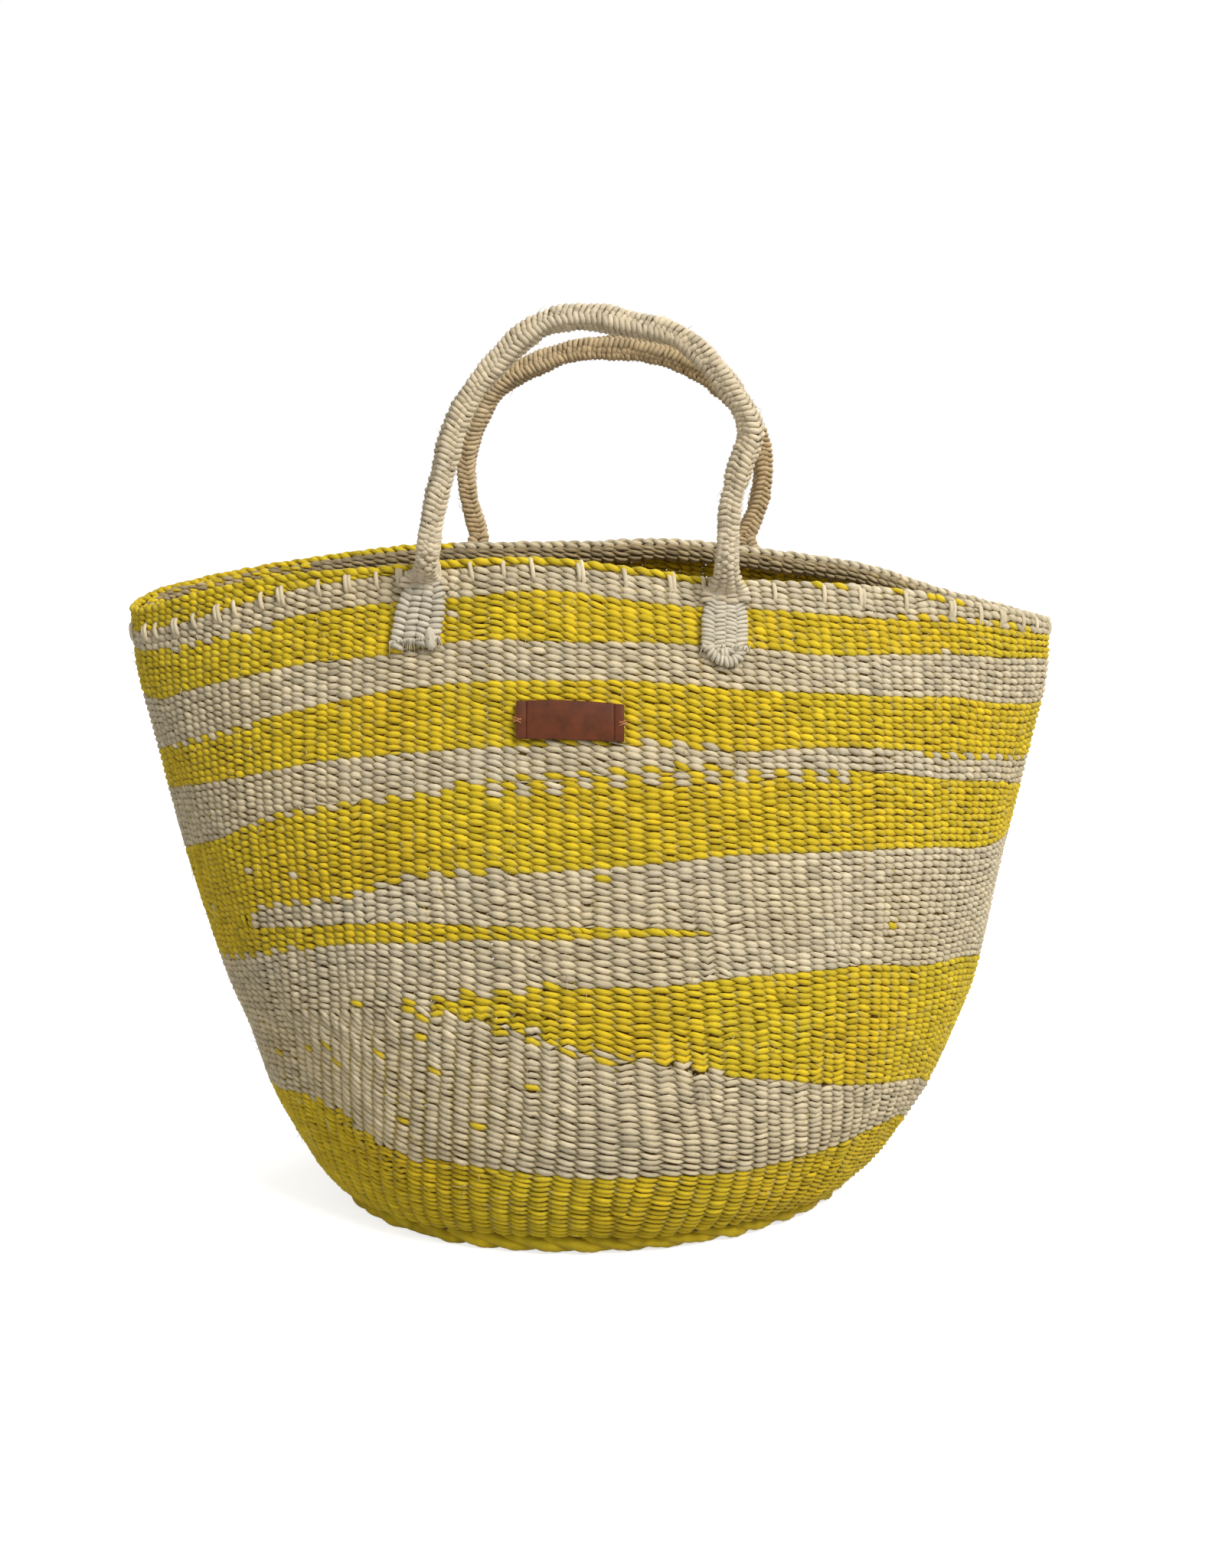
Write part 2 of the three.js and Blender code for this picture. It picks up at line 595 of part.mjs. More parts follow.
// The wrapping: a tube with the outline of the four cords and a bore for the core, open at both ends
function handleWrap(stations) {
  const inner = cordSides;
  const bore = (coreDiameter / 2 + pieceGap) / Math.cos(Math.PI / inner);
  const wrapped = stations.slice(1, -1);
  const skin = wrapped.map((station) => (
    stationRing(station, 2 * inner, (around) => cordReach(around) * station.open)
  ));
  const lining = wrapped.map((station) => stationRing(station, inner, () => bore));
  const corners = [];
  const side = (rings, outside) => {
    const sides = rings[0].length;
    for (let i = 0; i < rings.length - 1; i += 1) {
      for (let j = 0; j < sides; j += 1) {
        const k = (j + 1) % sides;
        const [a, b, c, d] = [rings[i][j], rings[i][k], rings[i + 1][k], rings[i + 1][j]];
        corners.push(...(outside ? [a, c, b, a, d, c] : [a, b, c, a, c, d]));
      }
    }
  };
  const end = (outer, bored, first) => {
    for (let j = 0; j < inner; j += 1) {
      const k = (j + 1) % inner;
      const [a, b, c] = [outer[2 * j], outer[2 * j + 1], outer[2 * k]];
      const faces = [a, b, bored[j], b, bored[k], bored[j], b, c, bored[k]];
      corners.push(...(first ? faces : faces.reverse()));
    }
  };
  side(skin, true);
  side(lining, false);
  end(skin[0], lining[0], true);
  end(skin.at(-1), lining.at(-1), false);
  return closedBody(corners);
}

// Tab: the four cords lie side by side under the hinge and fan out down the outside of the wall
function tabRib(index, side, aside, skew, length, hinge) {
  const place = index - (ribCount - 1) / 2;
  const neckTop = hinge.z - handleReach - pieceGap;
  const neckX = mouthMiddleX + aside + place * neckSpacing;
  const neckY = hinge.y - (side * ribDiameter) / 2;
  const spread = place * ribSpacing;
  const offWall = wallThickness / 2 + tabStand + ribDiameter / 2;
  const points = tabRowShares.map((up) => {
    const row = 1 - rowsFor(length * (1 - up), turnAt(aside, 1, side), 1);
    const fanned = aside + spread + skew * length * (1 - up);
    return wallPoint(turnAt(fanned, row, side), row, offWall);
  });
  points.push(new THREE.Vector3(neckX, neckY, neckTop - ribDiameter / 2));
  points.push(new THREE.Vector3(neckX, neckY, neckTop));
  const cord = new THREE.Shape();
  cord.absarc(0, 0, ribDiameter / 2, 0, 2 * Math.PI);
  return new THREE.ExtrudeGeometry(cord, {
    steps: tabSteps,
    curveSegments: cordSides / 2,
    extrudePath: new THREE.CatmullRomCurve3(points, false, 'centripetal'),
  });
}

function handleTab(side, aside, skew, length, hinge) {
  const ribs = Array.from({ length: ribCount }, (_, index) => (
    toSolid(tabRib(index, side, aside, skew, length, hinge))
  ));
  return fromSolid(ribs.reduce((joined, rib) => joined.add(rib)));
}

const handles = [
  { name: 'front', side: -1, shift: frontShift, span: frontSpan, rise: frontRise, shares: frontHandleShares },
  { name: 'back', side: 1, shift: backShift, span: backSpan, rise: backRise, shares: backHandleShares },
];
for (const { name, side, shift, span, rise, shares } of handles) {
  const hinge = hingeLine(side, shift, span);
  const stations = handleStations(handlePath(shares, span, rise, hinge));
  addPiece(`handle_${name}_wrap`, handleWrap(stations), handleSisal);
  addPiece(`handle_${name}_core`, handleCore(stations), coreSisal);
  for (const [hand, place] of [[-1, 'left'], [1, 'right']]) {
    const skew = tabSkewShares[`${name}_${place}`];
    const length = tabLength * tabLengthShares[`${name}_${place}`];
    const tab = handleTab(side, shift + (hand * span) / 2, skew, length, hinge);
    addPiece(`tab_${name}_${place}`, tab, handleSisal);
  }
}

// Leather label, sewn flat on the front
function leatherLabel() {
  const rise = labelHeight / 2;
  const grid = (outward) => {
    const columns = [];
    for (let i = 0; i <= labelColumns; i += 1) {
      const along01 = i / labelColumns;
      const aside = labelShift + labelWidth * (along01 - 0.5);
      const turn = turnAt(aside, labelRowShare, -1);
      const bow = labelBow * (1 - (2 * along01 - 1) ** 2);
      const low = labelRowShare - rowsFor(rise, turn, labelRowShare);
      const high = labelRowShare + rowsFor(rise + bow, turn, labelRowShare);
      columns.push([low, labelRowShare, high].map((row) => wallPoint(turn, row, outward)));
    }
    return columns;
  };
  const back = wallThickness / 2 + pieceGap;
  return shellBody(grid(back + labelThickness), grid(back), false);
}
addPiece('leather_label', leatherLabel(), brownLeather);

export default basket;
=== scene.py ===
import json
import math
import bpy
import numpy as np
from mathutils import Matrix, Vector


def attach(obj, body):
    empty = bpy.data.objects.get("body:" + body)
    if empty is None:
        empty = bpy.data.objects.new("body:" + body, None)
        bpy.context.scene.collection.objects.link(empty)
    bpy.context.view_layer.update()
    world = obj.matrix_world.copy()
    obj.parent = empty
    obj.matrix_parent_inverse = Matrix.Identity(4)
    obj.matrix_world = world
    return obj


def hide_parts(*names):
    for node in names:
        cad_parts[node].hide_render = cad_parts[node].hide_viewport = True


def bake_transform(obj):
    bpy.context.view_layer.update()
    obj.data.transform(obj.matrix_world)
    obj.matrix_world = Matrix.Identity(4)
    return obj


# A twined sisal market basket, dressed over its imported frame. Sizes here are in millimetres, in the frame's own axes.
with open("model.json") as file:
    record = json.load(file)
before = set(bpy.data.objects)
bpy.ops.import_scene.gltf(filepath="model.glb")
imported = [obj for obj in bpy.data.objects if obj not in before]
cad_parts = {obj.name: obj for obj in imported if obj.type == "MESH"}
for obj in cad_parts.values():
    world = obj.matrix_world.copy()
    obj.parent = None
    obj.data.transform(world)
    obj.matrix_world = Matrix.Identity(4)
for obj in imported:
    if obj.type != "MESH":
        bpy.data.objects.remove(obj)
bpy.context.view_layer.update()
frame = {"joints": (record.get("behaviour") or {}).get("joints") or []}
bpy.ops.object.select_all(action="DESELECT")

mm = 0.001
fullTurn = 2 * math.pi
rng = np.random.default_rng(11)


# the camera comes first

view = {
    "place": (-6, -900, 400),      # where the lens stands
    "aim": (-6, 0, 245),
    "focalPixels": 2283,           # over the 2048 pixels of the taller side
    "sensor": 36,
    "imageHeight": 2048,
    "axisLeft": 30,                # pixels from the middle of the picture to the optical axis
    "axisUp": 73,
}


def addCamera():
    data = bpy.data.cameras.new("camera")
    data.sensor_width = view["sensor"]
    data.lens = view["focalPixels"] * view["sensor"] / view["imageHeight"]
    data.shift_x = view["axisLeft"] / view["imageHeight"]
    data.shift_y = -view["axisUp"] / view["imageHeight"]
    data.clip_start = 0.05
    camera = bpy.data.objects.new("camera", data)
    bpy.context.scene.collection.objects.link(camera)
    place, aim = Vector(view["place"]) * mm, Vector(view["aim"]) * mm
    camera.location = place
    camera.rotation_euler = (aim - place).to_track_quat("-Z", "Y").to_euler()
    bpy.context.scene.camera = camera


addCamera()
bpy.context.scene.view_settings.view_transform = "Standard"


# small tools for materials

def hexColour(code):
    # sRGB hex to the linear colour that the shader takes
    parts = [int(code[i:i + 2], 16) / 255 for i in (1, 3, 5)]
    linear = [c / 12.92 if c <= 0.04045 else ((c + 0.055) / 1.055) ** 2.4 for c in parts]
    return (*linear, 1.0)


def addNode(tree, kind, settings=None, **inputs):
    # adds one node; an input is a value or another node's socket
    node = tree.nodes.new(kind)
    for key, value in (settings or {}).items():
        setattr(node, key, value)
    for key, value in inputs.items():
        socket = node.inputs[int(key[1:]) if key[0] == "n" and key[1:].isdigit() else key.replace("_", " ")]
        if isinstance(value, bpy.types.NodeSocket):
            tree.links.new(value, socket)
        else:
            socket.default_value = value
    return node


def newMaterial(name):
    material = bpy.data.materials.new(name)
    material.use_nodes = True
    tree = material.node_tree
    tree.nodes.clear()
    return material, tree


def finishMaterial(tree, shader):
    output = addNode(tree, "ShaderNodeOutputMaterial")
    tree.links.new(shader.outputs[0], output.inputs["Surface"])


# how sisal is drawn, unless a yarn says otherwise: its fibres are 0.4 to 0.5 mm across and 5 mm long, coarser than
# the real ones so that they show
sisal = {
    "plyAngle": 0.5, "fibresPerMm": 2.2, "fibreLength": 5, "fibreContrast": (0.32, 0.68), "patchesPerM": 12,
    "patchContrast": (0.35, 0.7), "patchAmount": 0.5, "bump": 0.7, "bumpDepth": 0.4, "roughness": 0.78,
    "sheen": 0.05, "sheenRoughness": 0.5, "specular": 0.22,
}
wrapping = {**sisal, "plyAngle": 0.6, "fibresPerMm": 2.6, "patchesPerM": 18, "bump": 0.6}


def mapRange(tree, value, low, high, toLow=0.0, toHigh=1.0):
    return addNode(tree, "ShaderNodeMapRange", n0=value, n1=low, n2=high, n3=toLow, n4=toHigh).outputs[0]


def mixColours(tree, share, first, second):
    # a colour is hex or another node's socket
    colours = [hexColour(c) if isinstance(c, str) else c for c in (first, second)]
    return addNode(tree, "ShaderNodeMix", {"data_type": "RGBA"}, n0=share, n6=colours[0], n7=colours[1]).outputs[2]


def sisalYarn(name, slot, light, shade, patch, tint, finish):
    # hand-rolled sisal: long shiny leaf fibres that lie a little askew, so the yarn is streaked along its length,
    # nearly matt, each stitch has its own tone, and it is painted darker where it dives behind a warp, painted shade
    # between the warps; the noise of the streaks also raises the bump, so raised fibres get the light colour and low
    # ones the shade colour, painted highlight and shade over the fibres' own streaks; gives the material and the slot
    # of the frame that it fills
    material, tree = newMaterial(name)
    uv = addNode(tree, "ShaderNodeUVMap", {"uv_map": "yarn"})
    tone, bleed = (addNode(tree, "ShaderNodeAttribute", {"attribute_name": key}) for key in ("tone", "tint"))
    askew = addNode(tree, "ShaderNodeMapping", {"vector_type": "POINT"}, Vector=uv.outputs["UV"],
                    Rotation=(0, 0, finish["plyAngle"]), Scale=(1 / finish["fibreLength"], finish["fibresPerMm"], 1))
    fibres = addNode(tree, "ShaderNodeTexNoise", Vector=askew.outputs[0], Scale=1.0, Detail=4.0, Roughness=0.65)
    place = addNode(tree, "ShaderNodeTexCoord")
    patches = addNode(tree, "ShaderNodeTexNoise", Vector=place.outputs["Object"], Scale=finish["patchesPerM"],
                      Detail=3.0, Roughness=0.55)
    # the noise that picks the shade or light colour also raises the bump below, so raised fibres are painted lighter
    # and low ones darker: painted highlight and shade over the streaks
    base = mixColours(tree, mapRange(tree, fibres.outputs["Fac"], *finish["fibreContrast"]), shade, light)
    patchShare = mapRange(tree, patches.outputs["Fac"], *finish["patchContrast"], 0.0, finish["patchAmount"])
    patched = mixColours(tree, patchShare, base, patch)
    tinted = mixColours(tree, bleed.outputs["Fac"], patched, tint)
    toned = addNode(tree, "ShaderNodeVectorMath", {"operation": "SCALE"}, n0=tinted, Scale=tone.outputs["Fac"])
    bump = addNode(tree, "ShaderNodeBump", Strength=finish["bump"], Distance=finish["bumpDepth"] * mm,
                   Height=fibres.outputs["Fac"])
    shader = addNode(tree, "ShaderNodeBsdfPrincipled", Base_Color=toned.outputs[0], Roughness=finish["roughness"],
                     Normal=bump.outputs[0], Specular_IOR_Level=finish["specular"], Sheen_Weight=finish["sheen"],
                     Sheen_Roughness=finish["sheenRoughness"])
    finishMaterial(tree, shader)
    return material, slot


# dyed yellow sisal, painted bright where a fibre stands out and ochre between the fibres, painted highlight and shade
# that follow the bump over the fibres' own streaks; its patches are where the dye took deeper
yellowYarn = sisalYarn("dyedYellowSisal", "yellow_sisal", "#ebd22e", "#c6a912", "#dcb51c", "#d9cd9c",
                       {**sisal, "patchesPerM": 14, "roughness": 0.72})
# undyed sisal, creamy with greyish fibres
naturalYarn = sisalYarn("undyedSisal", "natural_sisal", "#eadfc4", "#bfad88", "#d6c194", "#cdaf22",
                        {**sisal, "roughness": 0.75})
# sisal of the warps, painted dark brown as the shade in the gaps between the stitches, where it shows only as dark
# specks
warpYarn = sisalYarn("shadeBrownWarpSisal", "natural_sisal", "#8f7038", "#5c431b", "#7d5c22", "#7d5c22",
                     {**sisal, "fibresPerMm": 2, "bump": 0.5, "roughness": 0.85})
# undyed sisal of the rim roll, greyer and browner than the wall
rollYarn = sisalYarn("greyBrownUndyedSisal", "natural_sisal", "#c2b08c", "#83704f", "#a38c62", "#c4a41e",
                     {**sisal, "patchAmount": 0.6})
# the thread that wraps the front handle, whiter than the wall
frontThread = sisalYarn("undyedWrappingThread", "handle_sisal", "#e9ddc4", "#b9a684", "#d8c49c", "#b79a66", wrapping)
# the thread of the splayed ends, paler and greyer since no hand rubs it
tabThread = sisalYarn("paleWrappingThread", "handle_sisal", "#e6decc", "#b5a98f", "#d2c6ab", "#b79a66",
                      {**wrapping, "roughness": 0.8})
# the same thread on the back handle, browned by hands
backThread = sisalYarn("handledWrappingThread", "handle_sisal", "#d9c6a0", "#a28861", "#bfa071", "#9d7d48",
                       {**wrapping, "patchAmount": 0.6, "roughness": 0.8})
# old cord inside the handles, darker because light barely reaches it
coreYarn = sisalYarn("coarseSisalCord", "core_sisal", "#a08c64", "#6d5b3a", "#7d6a46", "#7d6a46",
                     {**wrapping, "fibresPerMm": 2, "patchesPerM": 20, "bump": 0.4, "roughness": 0.85})


# tubes of yarn as mesh

def tube(centre, sideA, sideB, sides, tone, tint=None):
    # closed tubes through points: centre, sideA and sideB are (tubes, samples, 3), tone and tint (tubes, samples)
    count, samples = centre.shape[:2]
    angles = np.arange(sides) / sides * fullTurn
    ring = centre[:, :, None, :] + np.cos(angles)[:, None] * sideA[:, :, None, :]
    ring = ring + np.sin(angles)[:, None] * sideB[:, :, None, :]
    steps = np.linalg.norm(np.diff(centre, axis=1), axis=2)
    lengths = np.concatenate([np.zeros((count, 1)), np.cumsum(steps, axis=1)], axis=1)
    lengths += rng.uniform(0, 90, (count, 1))
    girth = np.linalg.norm(sideA, axis=2).max() * fullTurn
    base = (np.arange(count) * samples * sides)[:, None, None]
    i = np.arange(samples - 1)[None, :, None] * sides
    j = np.arange(sides)[None, None, :]
    k = (j + 1) % sides
    quads = np.stack(np.broadcast_arrays(base + i + j, base + i + k, base + i + sides + k, base + i + sides + j), -1)
    across = np.arange(sides + 1) / sides * girth
    u0, u1 = lengths[:, :-1, None], lengths[:, 1:, None]
    v0, v1 = across[None, None, :-1], across[None, None, 1:]
    uv = np.stack([np.stack(np.broadcast_arrays(u, v), -1) for u, v in ((u0, v0), (u0, v1), (u1, v1), (u1, v0))], -2)
    flat = np.arange(sides)
    first = base[:, 0] + flat[::-1][None, :]
    last = base[:, 0] + (samples - 1) * sides + flat[None, :]
    capUv = np.zeros((2 * count, sides, 2))
    capUv[:, :, 0] = np.concatenate([lengths[:, 0], lengths[:, -1]])[:, None]
    capUv[:, :, 1] = across[None, :-1]
    if tint is None:
        tint = np.zeros((count, samples))
    return {
        "verts": ring.reshape(-1, 3),
        "quads": quads.reshape(-1, 4),
        "caps": np.concatenate([first, last]),
        "uvQuads": uv.reshape(-1, 2),
        "uvCaps": capUv.reshape(-1, 2),
        "tone": np.repeat(tone.reshape(-1), sides),
        "tint": np.repeat(tint.reshape(-1), sides),
    }


def yarnPiece(name, parts, yarn, nodes=(), body="basket"):
    # one object of many tubes, riding on a body and standing for CAD nodes
    offsets = np.cumsum([0] + [len(p["verts"]) for p in parts])
    verts = np.concatenate([p["verts"] for p in parts]) * mm
    loops, starts, uvs, at = [], [], [], 0
    for part, offset in zip(parts, offsets):
        for faces, uv in ((part["quads"], part["uvQuads"]), (part["caps"], part["uvCaps"])):
            size = faces.shape[1]
            loops.append((faces + offset).reshape(-1))
            starts.append(at + np.arange(len(faces)) * size)
            uvs.append(uv)
            at += faces.size
    loops, starts, uvs = np.concatenate(loops), np.concatenate(starts), np.concatenate(uvs)
    mesh = bpy.data.meshes.new(name)
    mesh.vertices.add(len(verts))
    mesh.vertices.foreach_set("co", verts.astype(np.float32).reshape(-1))
    mesh.loops.add(len(loops))
    mesh.loops.foreach_set("vertex_index", loops.astype(np.int32))
    mesh.polygons.add(len(starts))
    mesh.polygons.foreach_set("loop_start", starts.astype(np.int32))
    mesh.update(calc_edges=True)
    mesh.shade_smooth()
    layer = mesh.uv_layers.new(name="yarn")
    layer.uv.foreach_set("vector", uvs.astype(np.float32).reshape(-1))
    for key in ("tone", "tint"):
        values = np.concatenate([p[key] for p in parts]).astype(np.float32)
        mesh.attributes.new(key, "FLOAT", "POINT").data.foreach_set("value", values)
    material, slot = yarn
    mesh.materials.append(material)
    piece = bpy.data.objects.new(name, mesh)
    bpy.context.scene.collection.objects.link(piece)
    if nodes:
        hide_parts(*nodes)
    if body:
        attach(piece, body)
    return piece


upright = np.array([0.0, 0.0, 1.0])


def unit(v):
    return v / np.maximum(np.linalg.norm(v, axis=-1, keepdims=True), 1e-9)


def cord(centre, outward, halfOut, halfAcross, sides, tone, tint=None):
    # tubes whose section has its first axis near the outward direction and its second across it
    along = unit(np.gradient(centre, axis=1))
    out = unit(outward - along * np.sum(outward * along, axis=-1, keepdims=True))
    across = np.cross(along, out)
    return tube(centre, out * np.asarray(halfOut)[..., None], across * np.asarray(halfAcross)[..., None], sides,
                tone, tint)


def oneCord(centre, outward, halfOut, halfAcross, sides, tone):
    # a single tube; its sizes and its tone are numbers or have a value for each point
    halfOut, halfAcross, tone = (np.broadcast_to(np.asarray(v, float), len(centre))[None]
                                 for v in (halfOut, halfAcross, tone))
    return cord(centre[None], np.broadcast_to(outward, centre.shape)[None], halfOut, halfAcross, sides, tone)


def fromTable(table, value):
    # straight-line value of a table of pairs
    return np.interp(value, *zip(*table))


def reachAlong(points):
    # distance of each point along a line
    return np.concatenate([[0], np.cumsum(np.linalg.norm(np.diff(points, axis=0), axis=1))])


def varied(middle, spread, count):
    return middle + spread * rng.normal(0, 1, count)


# the wall's shape, as in the frame

body = {
    "baseWidth": 246, "baseDepth": 187, "bellyDepth": 249, "mouthWidth": 475, "mouthDepth": 136,
    "height": 336, "thickness": 5, "endDrop": 33, "lean": 6, "skew": 9, "lift": 10,
    "weltDiameter": 11, "weltShare": 0.01964, "rollDiameter": 9,
    "stations": (0, 0.03, 0.07, 0.13, 0.2, 0.3, 0.4, 0.6, 0.8, 0.9, 1),
    "heights": (0, 0.025, 0.061, 0.124, 0.199, 0.301, 0.403, 0.608, 0.807, 0.904, 1),
    "widths": (0, 0.153, 0.26, 0.366, 0.476, 0.574, 0.673, 0.809, 0.9215, 0.982, 1),
    "bellies": (0, 0.257, 0.55, 0.816, 1, 1.03, 1, 1, 1, 1, 1),
    "squeezes": (0, 0, 0, 0, 0, 0.007, 0.04, 0.26, 0.59, 0.79, 1),
    "drops": (0, 0, 0, 0.045, 0.12, 0.269, 0.42, 0.65, 0.88, 0.947, 1),
    "leans": (0.06, 0.1, -0.06, -0.08, -0.1, -0.2, -0.02, 0.45, 0.7, 0.8, 0.95),
    "skews": (1, 0.95, 0.85, 0.65, 0.4, 0.15, 0, 0, 0, 0, 0),
    "lifts": (0, 0, 0, 0, 0, 0, 0, 0, 0.15, 0.5, 1),
    "baseThickness": 6, "startDiameter": 42, "startThickness": 7.5,
}

# turns at which the lines that go all round are set
lineTurns = (
    0, 0.12, 0.25, 0.38, 0.5, 0.53, 0.56, 0.59, 0.62, 0.65, 0.68, 0.71, 0.74, 0.77, 0.8, 0.83, 0.86, 0.89, 0.92, 0.95,
    0.98,
)
# colour lines of the weave: share of a turn from the right end by way of the back, then share of the wall; and
# how far the mouth rises or dips round a turn
colourLines = {
    "rimWave": (
        (0, 0.03), (0.05, 0), (0.1, -0.03), (0.14, 0.4), (0.18, 0.34), (0.22, 0.45), (0.25, 0.2), (0.28, 0.27),
        (0.32, 0.59), (0.36, 0.77), (0.4, 0.98), (0.45, 1.1), (0.5, 0.75), (0.55, 0.42), (0.6, 0.62), (0.64, 0.64),
        (0.68, 0.4), (0.71, 0.37), (0.735, 0.27), (0.76, -0.15), (0.79, -0.56), (0.82, -0.34), (0.86, -0.01),
        (0.9, 0.04), (0.95, 0.12)),
    "wedgeLow": (
        (0.685, 0.396), (0.71, 0.371), (0.74, 0.335), (0.77, 0.319), (0.8, 0.296), (0.83, 0.281), (0.86, 0.262),
        (0.89, 0.248), (0.92, 0.238), (0.95, 0.205), (1, 0.18), (1.1, 0.18), (1.2, 0.21), (1.3, 0.253)),
    "wedgeHigh": (
        (0.685, 0.402), (0.71, 0.411), (0.74, 0.42), (0.77, 0.421), (0.8, 0.434), (0.83, 0.438), (0.86, 0.446),
        (0.89, 0.442), (0.92, 0.445), (0.96, 0.43), (1, 0.41), (1.1, 0.35), (1.2, 0.3), (1.3, 0.26)),
    "stripeLow": (
        (0.3, 0.538), (0.38, 0.46), (0.46, 0.425), (0.53, 0.425), (0.56, 0.431), (0.59, 0.446), (0.62, 0.466),
        (0.65, 0.48), (0.68, 0.482), (0.71, 0.487), (0.74, 0.485), (0.79, 0.489)),
    "stripeHigh": (
        (0.58, 0.49), (0.62, 0.502), (0.65, 0.508), (0.68, 0.509), (0.71, 0.504), (0.74, 0.501), (0.79, 0.495)),
    "rimLow": (
        (0.3, 0.988), (0.42, 0.984), (0.5, 0.966), (0.56, 0.964), (0.59, 0.963), (0.62, 0.969), (0.65, 0.979),
        (0.68, 0.986), (0.79, 0.988)),
}
colourLines.update((name, tuple(zip(lineTurns, shares))) for name, shares in (
    ("baseBandTop", (
        0.115, 0.125, 0.14, 0.17, 0.2, 0.21, 0.217, 0.227, 0.22, 0.171, 0.163, 0.158, 0.151, 0.153, 0.151, 0.151,
        0.155, 0.17, 0.171, 0.143, 0.12)),
    ("wideLow", (
        0.63, 0.6, 0.565, 0.53, 0.506, 0.505, 0.501, 0.514, 0.532, 0.541, 0.565, 0.57, 0.576, 0.585, 0.599, 0.608,
        0.615, 0.618, 0.617, 0.625, 0.634)),
    ("wideHigh", (
        0.715, 0.69, 0.66, 0.62, 0.6, 0.61, 0.625, 0.639, 0.665, 0.674, 0.684, 0.693, 0.7, 0.711, 0.719, 0.723, 0.725,
        0.723, 0.723, 0.724, 0.721)),
    ("middleLow", (
        0.77, 0.75, 0.735, 0.72, 0.714, 0.715, 0.719, 0.723, 0.729, 0.736, 0.74, 0.745, 0.744, 0.747, 0.744, 0.753,
        0.759, 0.765, 0.769, 0.771, 0.773)),
    ("middleHigh", (
        0.86, 0.835, 0.815, 0.79, 0.777, 0.782, 0.789, 0.795, 0.805, 0.817, 0.828, 0.835, 0.834, 0.834, 0.83, 0.832,
        0.836, 0.849, 0.852, 0.856, 0.864)),
    ("upperLow", (
        0.928, 0.91, 0.89, 0.875, 0.867, 0.864, 0.859, 0.863, 0.869, 0.878, 0.879, 0.89, 0.886, 0.89, 0.892, 0.889,
        0.901, 0.914, 0.923, 0.929, 0.929)),
    ("upperHigh", (
        0.97, 0.968, 0.97, 0.96, 0.938, 0.936, 0.933, 0.931, 0.933, 0.944, 0.95, 0.948, 0.954, 0.949, 0.953, 0.951,
        0.953, 0.963, 0.967, 0.968, 0.969)),
))
tongueStart = 0.59             # turn where natural yarn parts the thin stripe from the wide band
stripeSpan = (0.3, 0.79)       # turns between which there is a thin stripe
stripeBeyond = ((0, 0.507), (0.3, 0.538), (0.79, 0.492), (1, 0.507))   # the line that goes on from its tips
rimSpan = (0.3, 0.79)          # turns between which the mouth is edged in yellow
bitsEnd = 0.91                 # turn up to which bits of yellow go on, and the chance of one
bitsChance = 0.28


def smoothTable(stations, values, share):
    # smooth value of a table, with the slopes that its neighbours give
    x, y = np.asarray(stations, float), np.asarray(values, float)
    at = np.clip(np.asarray(share, float), x[0], x[-1])
    i = np.clip(np.searchsorted(x, at, side="left") - 1, 0, len(x) - 2)
    low, high = np.maximum(np.arange(len(x)) - 1, 0), np.minimum(np.arange(len(x)) + 1, len(x) - 1)
    tangent = (y[high] - y[low]) / (x[high] - x[low])
    step = x[i + 1] - x[i]
    s = (at - x[i]) / step
    rise = s * s * (3 - 2 * s)
    return (y[i] * (1 - rise) + y[i + 1] * rise + s * (1 - s) ** 2 * step * tangent[i]
            + s * s * (s - 1) * step * tangent[i + 1])


def lineAt(name, turn):
    points = colourLines[name]
    turn = np.asarray(turn, float)
    if points[0][0] == 0:
        before, after = points[-1], points[1]
        points = ((before[0] - 1, before[1]), *points, (1, points[0][1]), (1 + after[0], after[1]))
        turn = turn - np.floor(turn)
    return smoothTable([p[0] for p in points], [p[1] for p in points], turn)


def middlePoint(turn, row):
    size = {k: smoothTable(body["stations"], body[k], row)
            for k in ("heights", "widths", "bellies", "squeezes", "drops", "leans", "skews", "lifts")}
    belly = body["baseDepth"] + (body["bellyDepth"] - body["baseDepth"]) * size["bellies"]
    width = body["baseWidth"] + (body["mouthWidth"] - body["baseWidth"]) * size["widths"]
    depth = belly + (body["mouthDepth"] - belly) * size["squeezes"]
    angle = np.asarray(turn) * fullTurn
    x = (width - body["thickness"]) / 2 * np.cos(angle) - body["lean"] * size["leans"]
    y = (depth - body["thickness"]) / 2 * np.sin(angle) + body["skew"] * size["skews"] * np.cos(angle)
    z = body["height"] * size["heights"] - body["endDrop"] * size["drops"] * np.cos(angle) ** 2
    z = z + body["lift"] * size["lifts"] * lineAt("rimWave", turn)
    return np.stack(np.broadcast_arrays(x, y, z), -1)


# hand-woven unevenness, slow swells in and out and rows that wander up and down: size in mm, waves in a turn, waves
# in the height of the wall, phase
swells = ((0.55, 5, 1.3, 1), (0.45, 9, -0.8, 2.2), (0.3, 17, 2, 0))
wanders = ((0.5, 4, 2.2, 0.4), (0.35, 11, -3, 1.7))


def waves(table, turn, row):
    a, b = turn * fullTurn, row * fullTurn
    return sum(size * np.sin(around * a + up * b + phase) for size, around, up, phase in table)


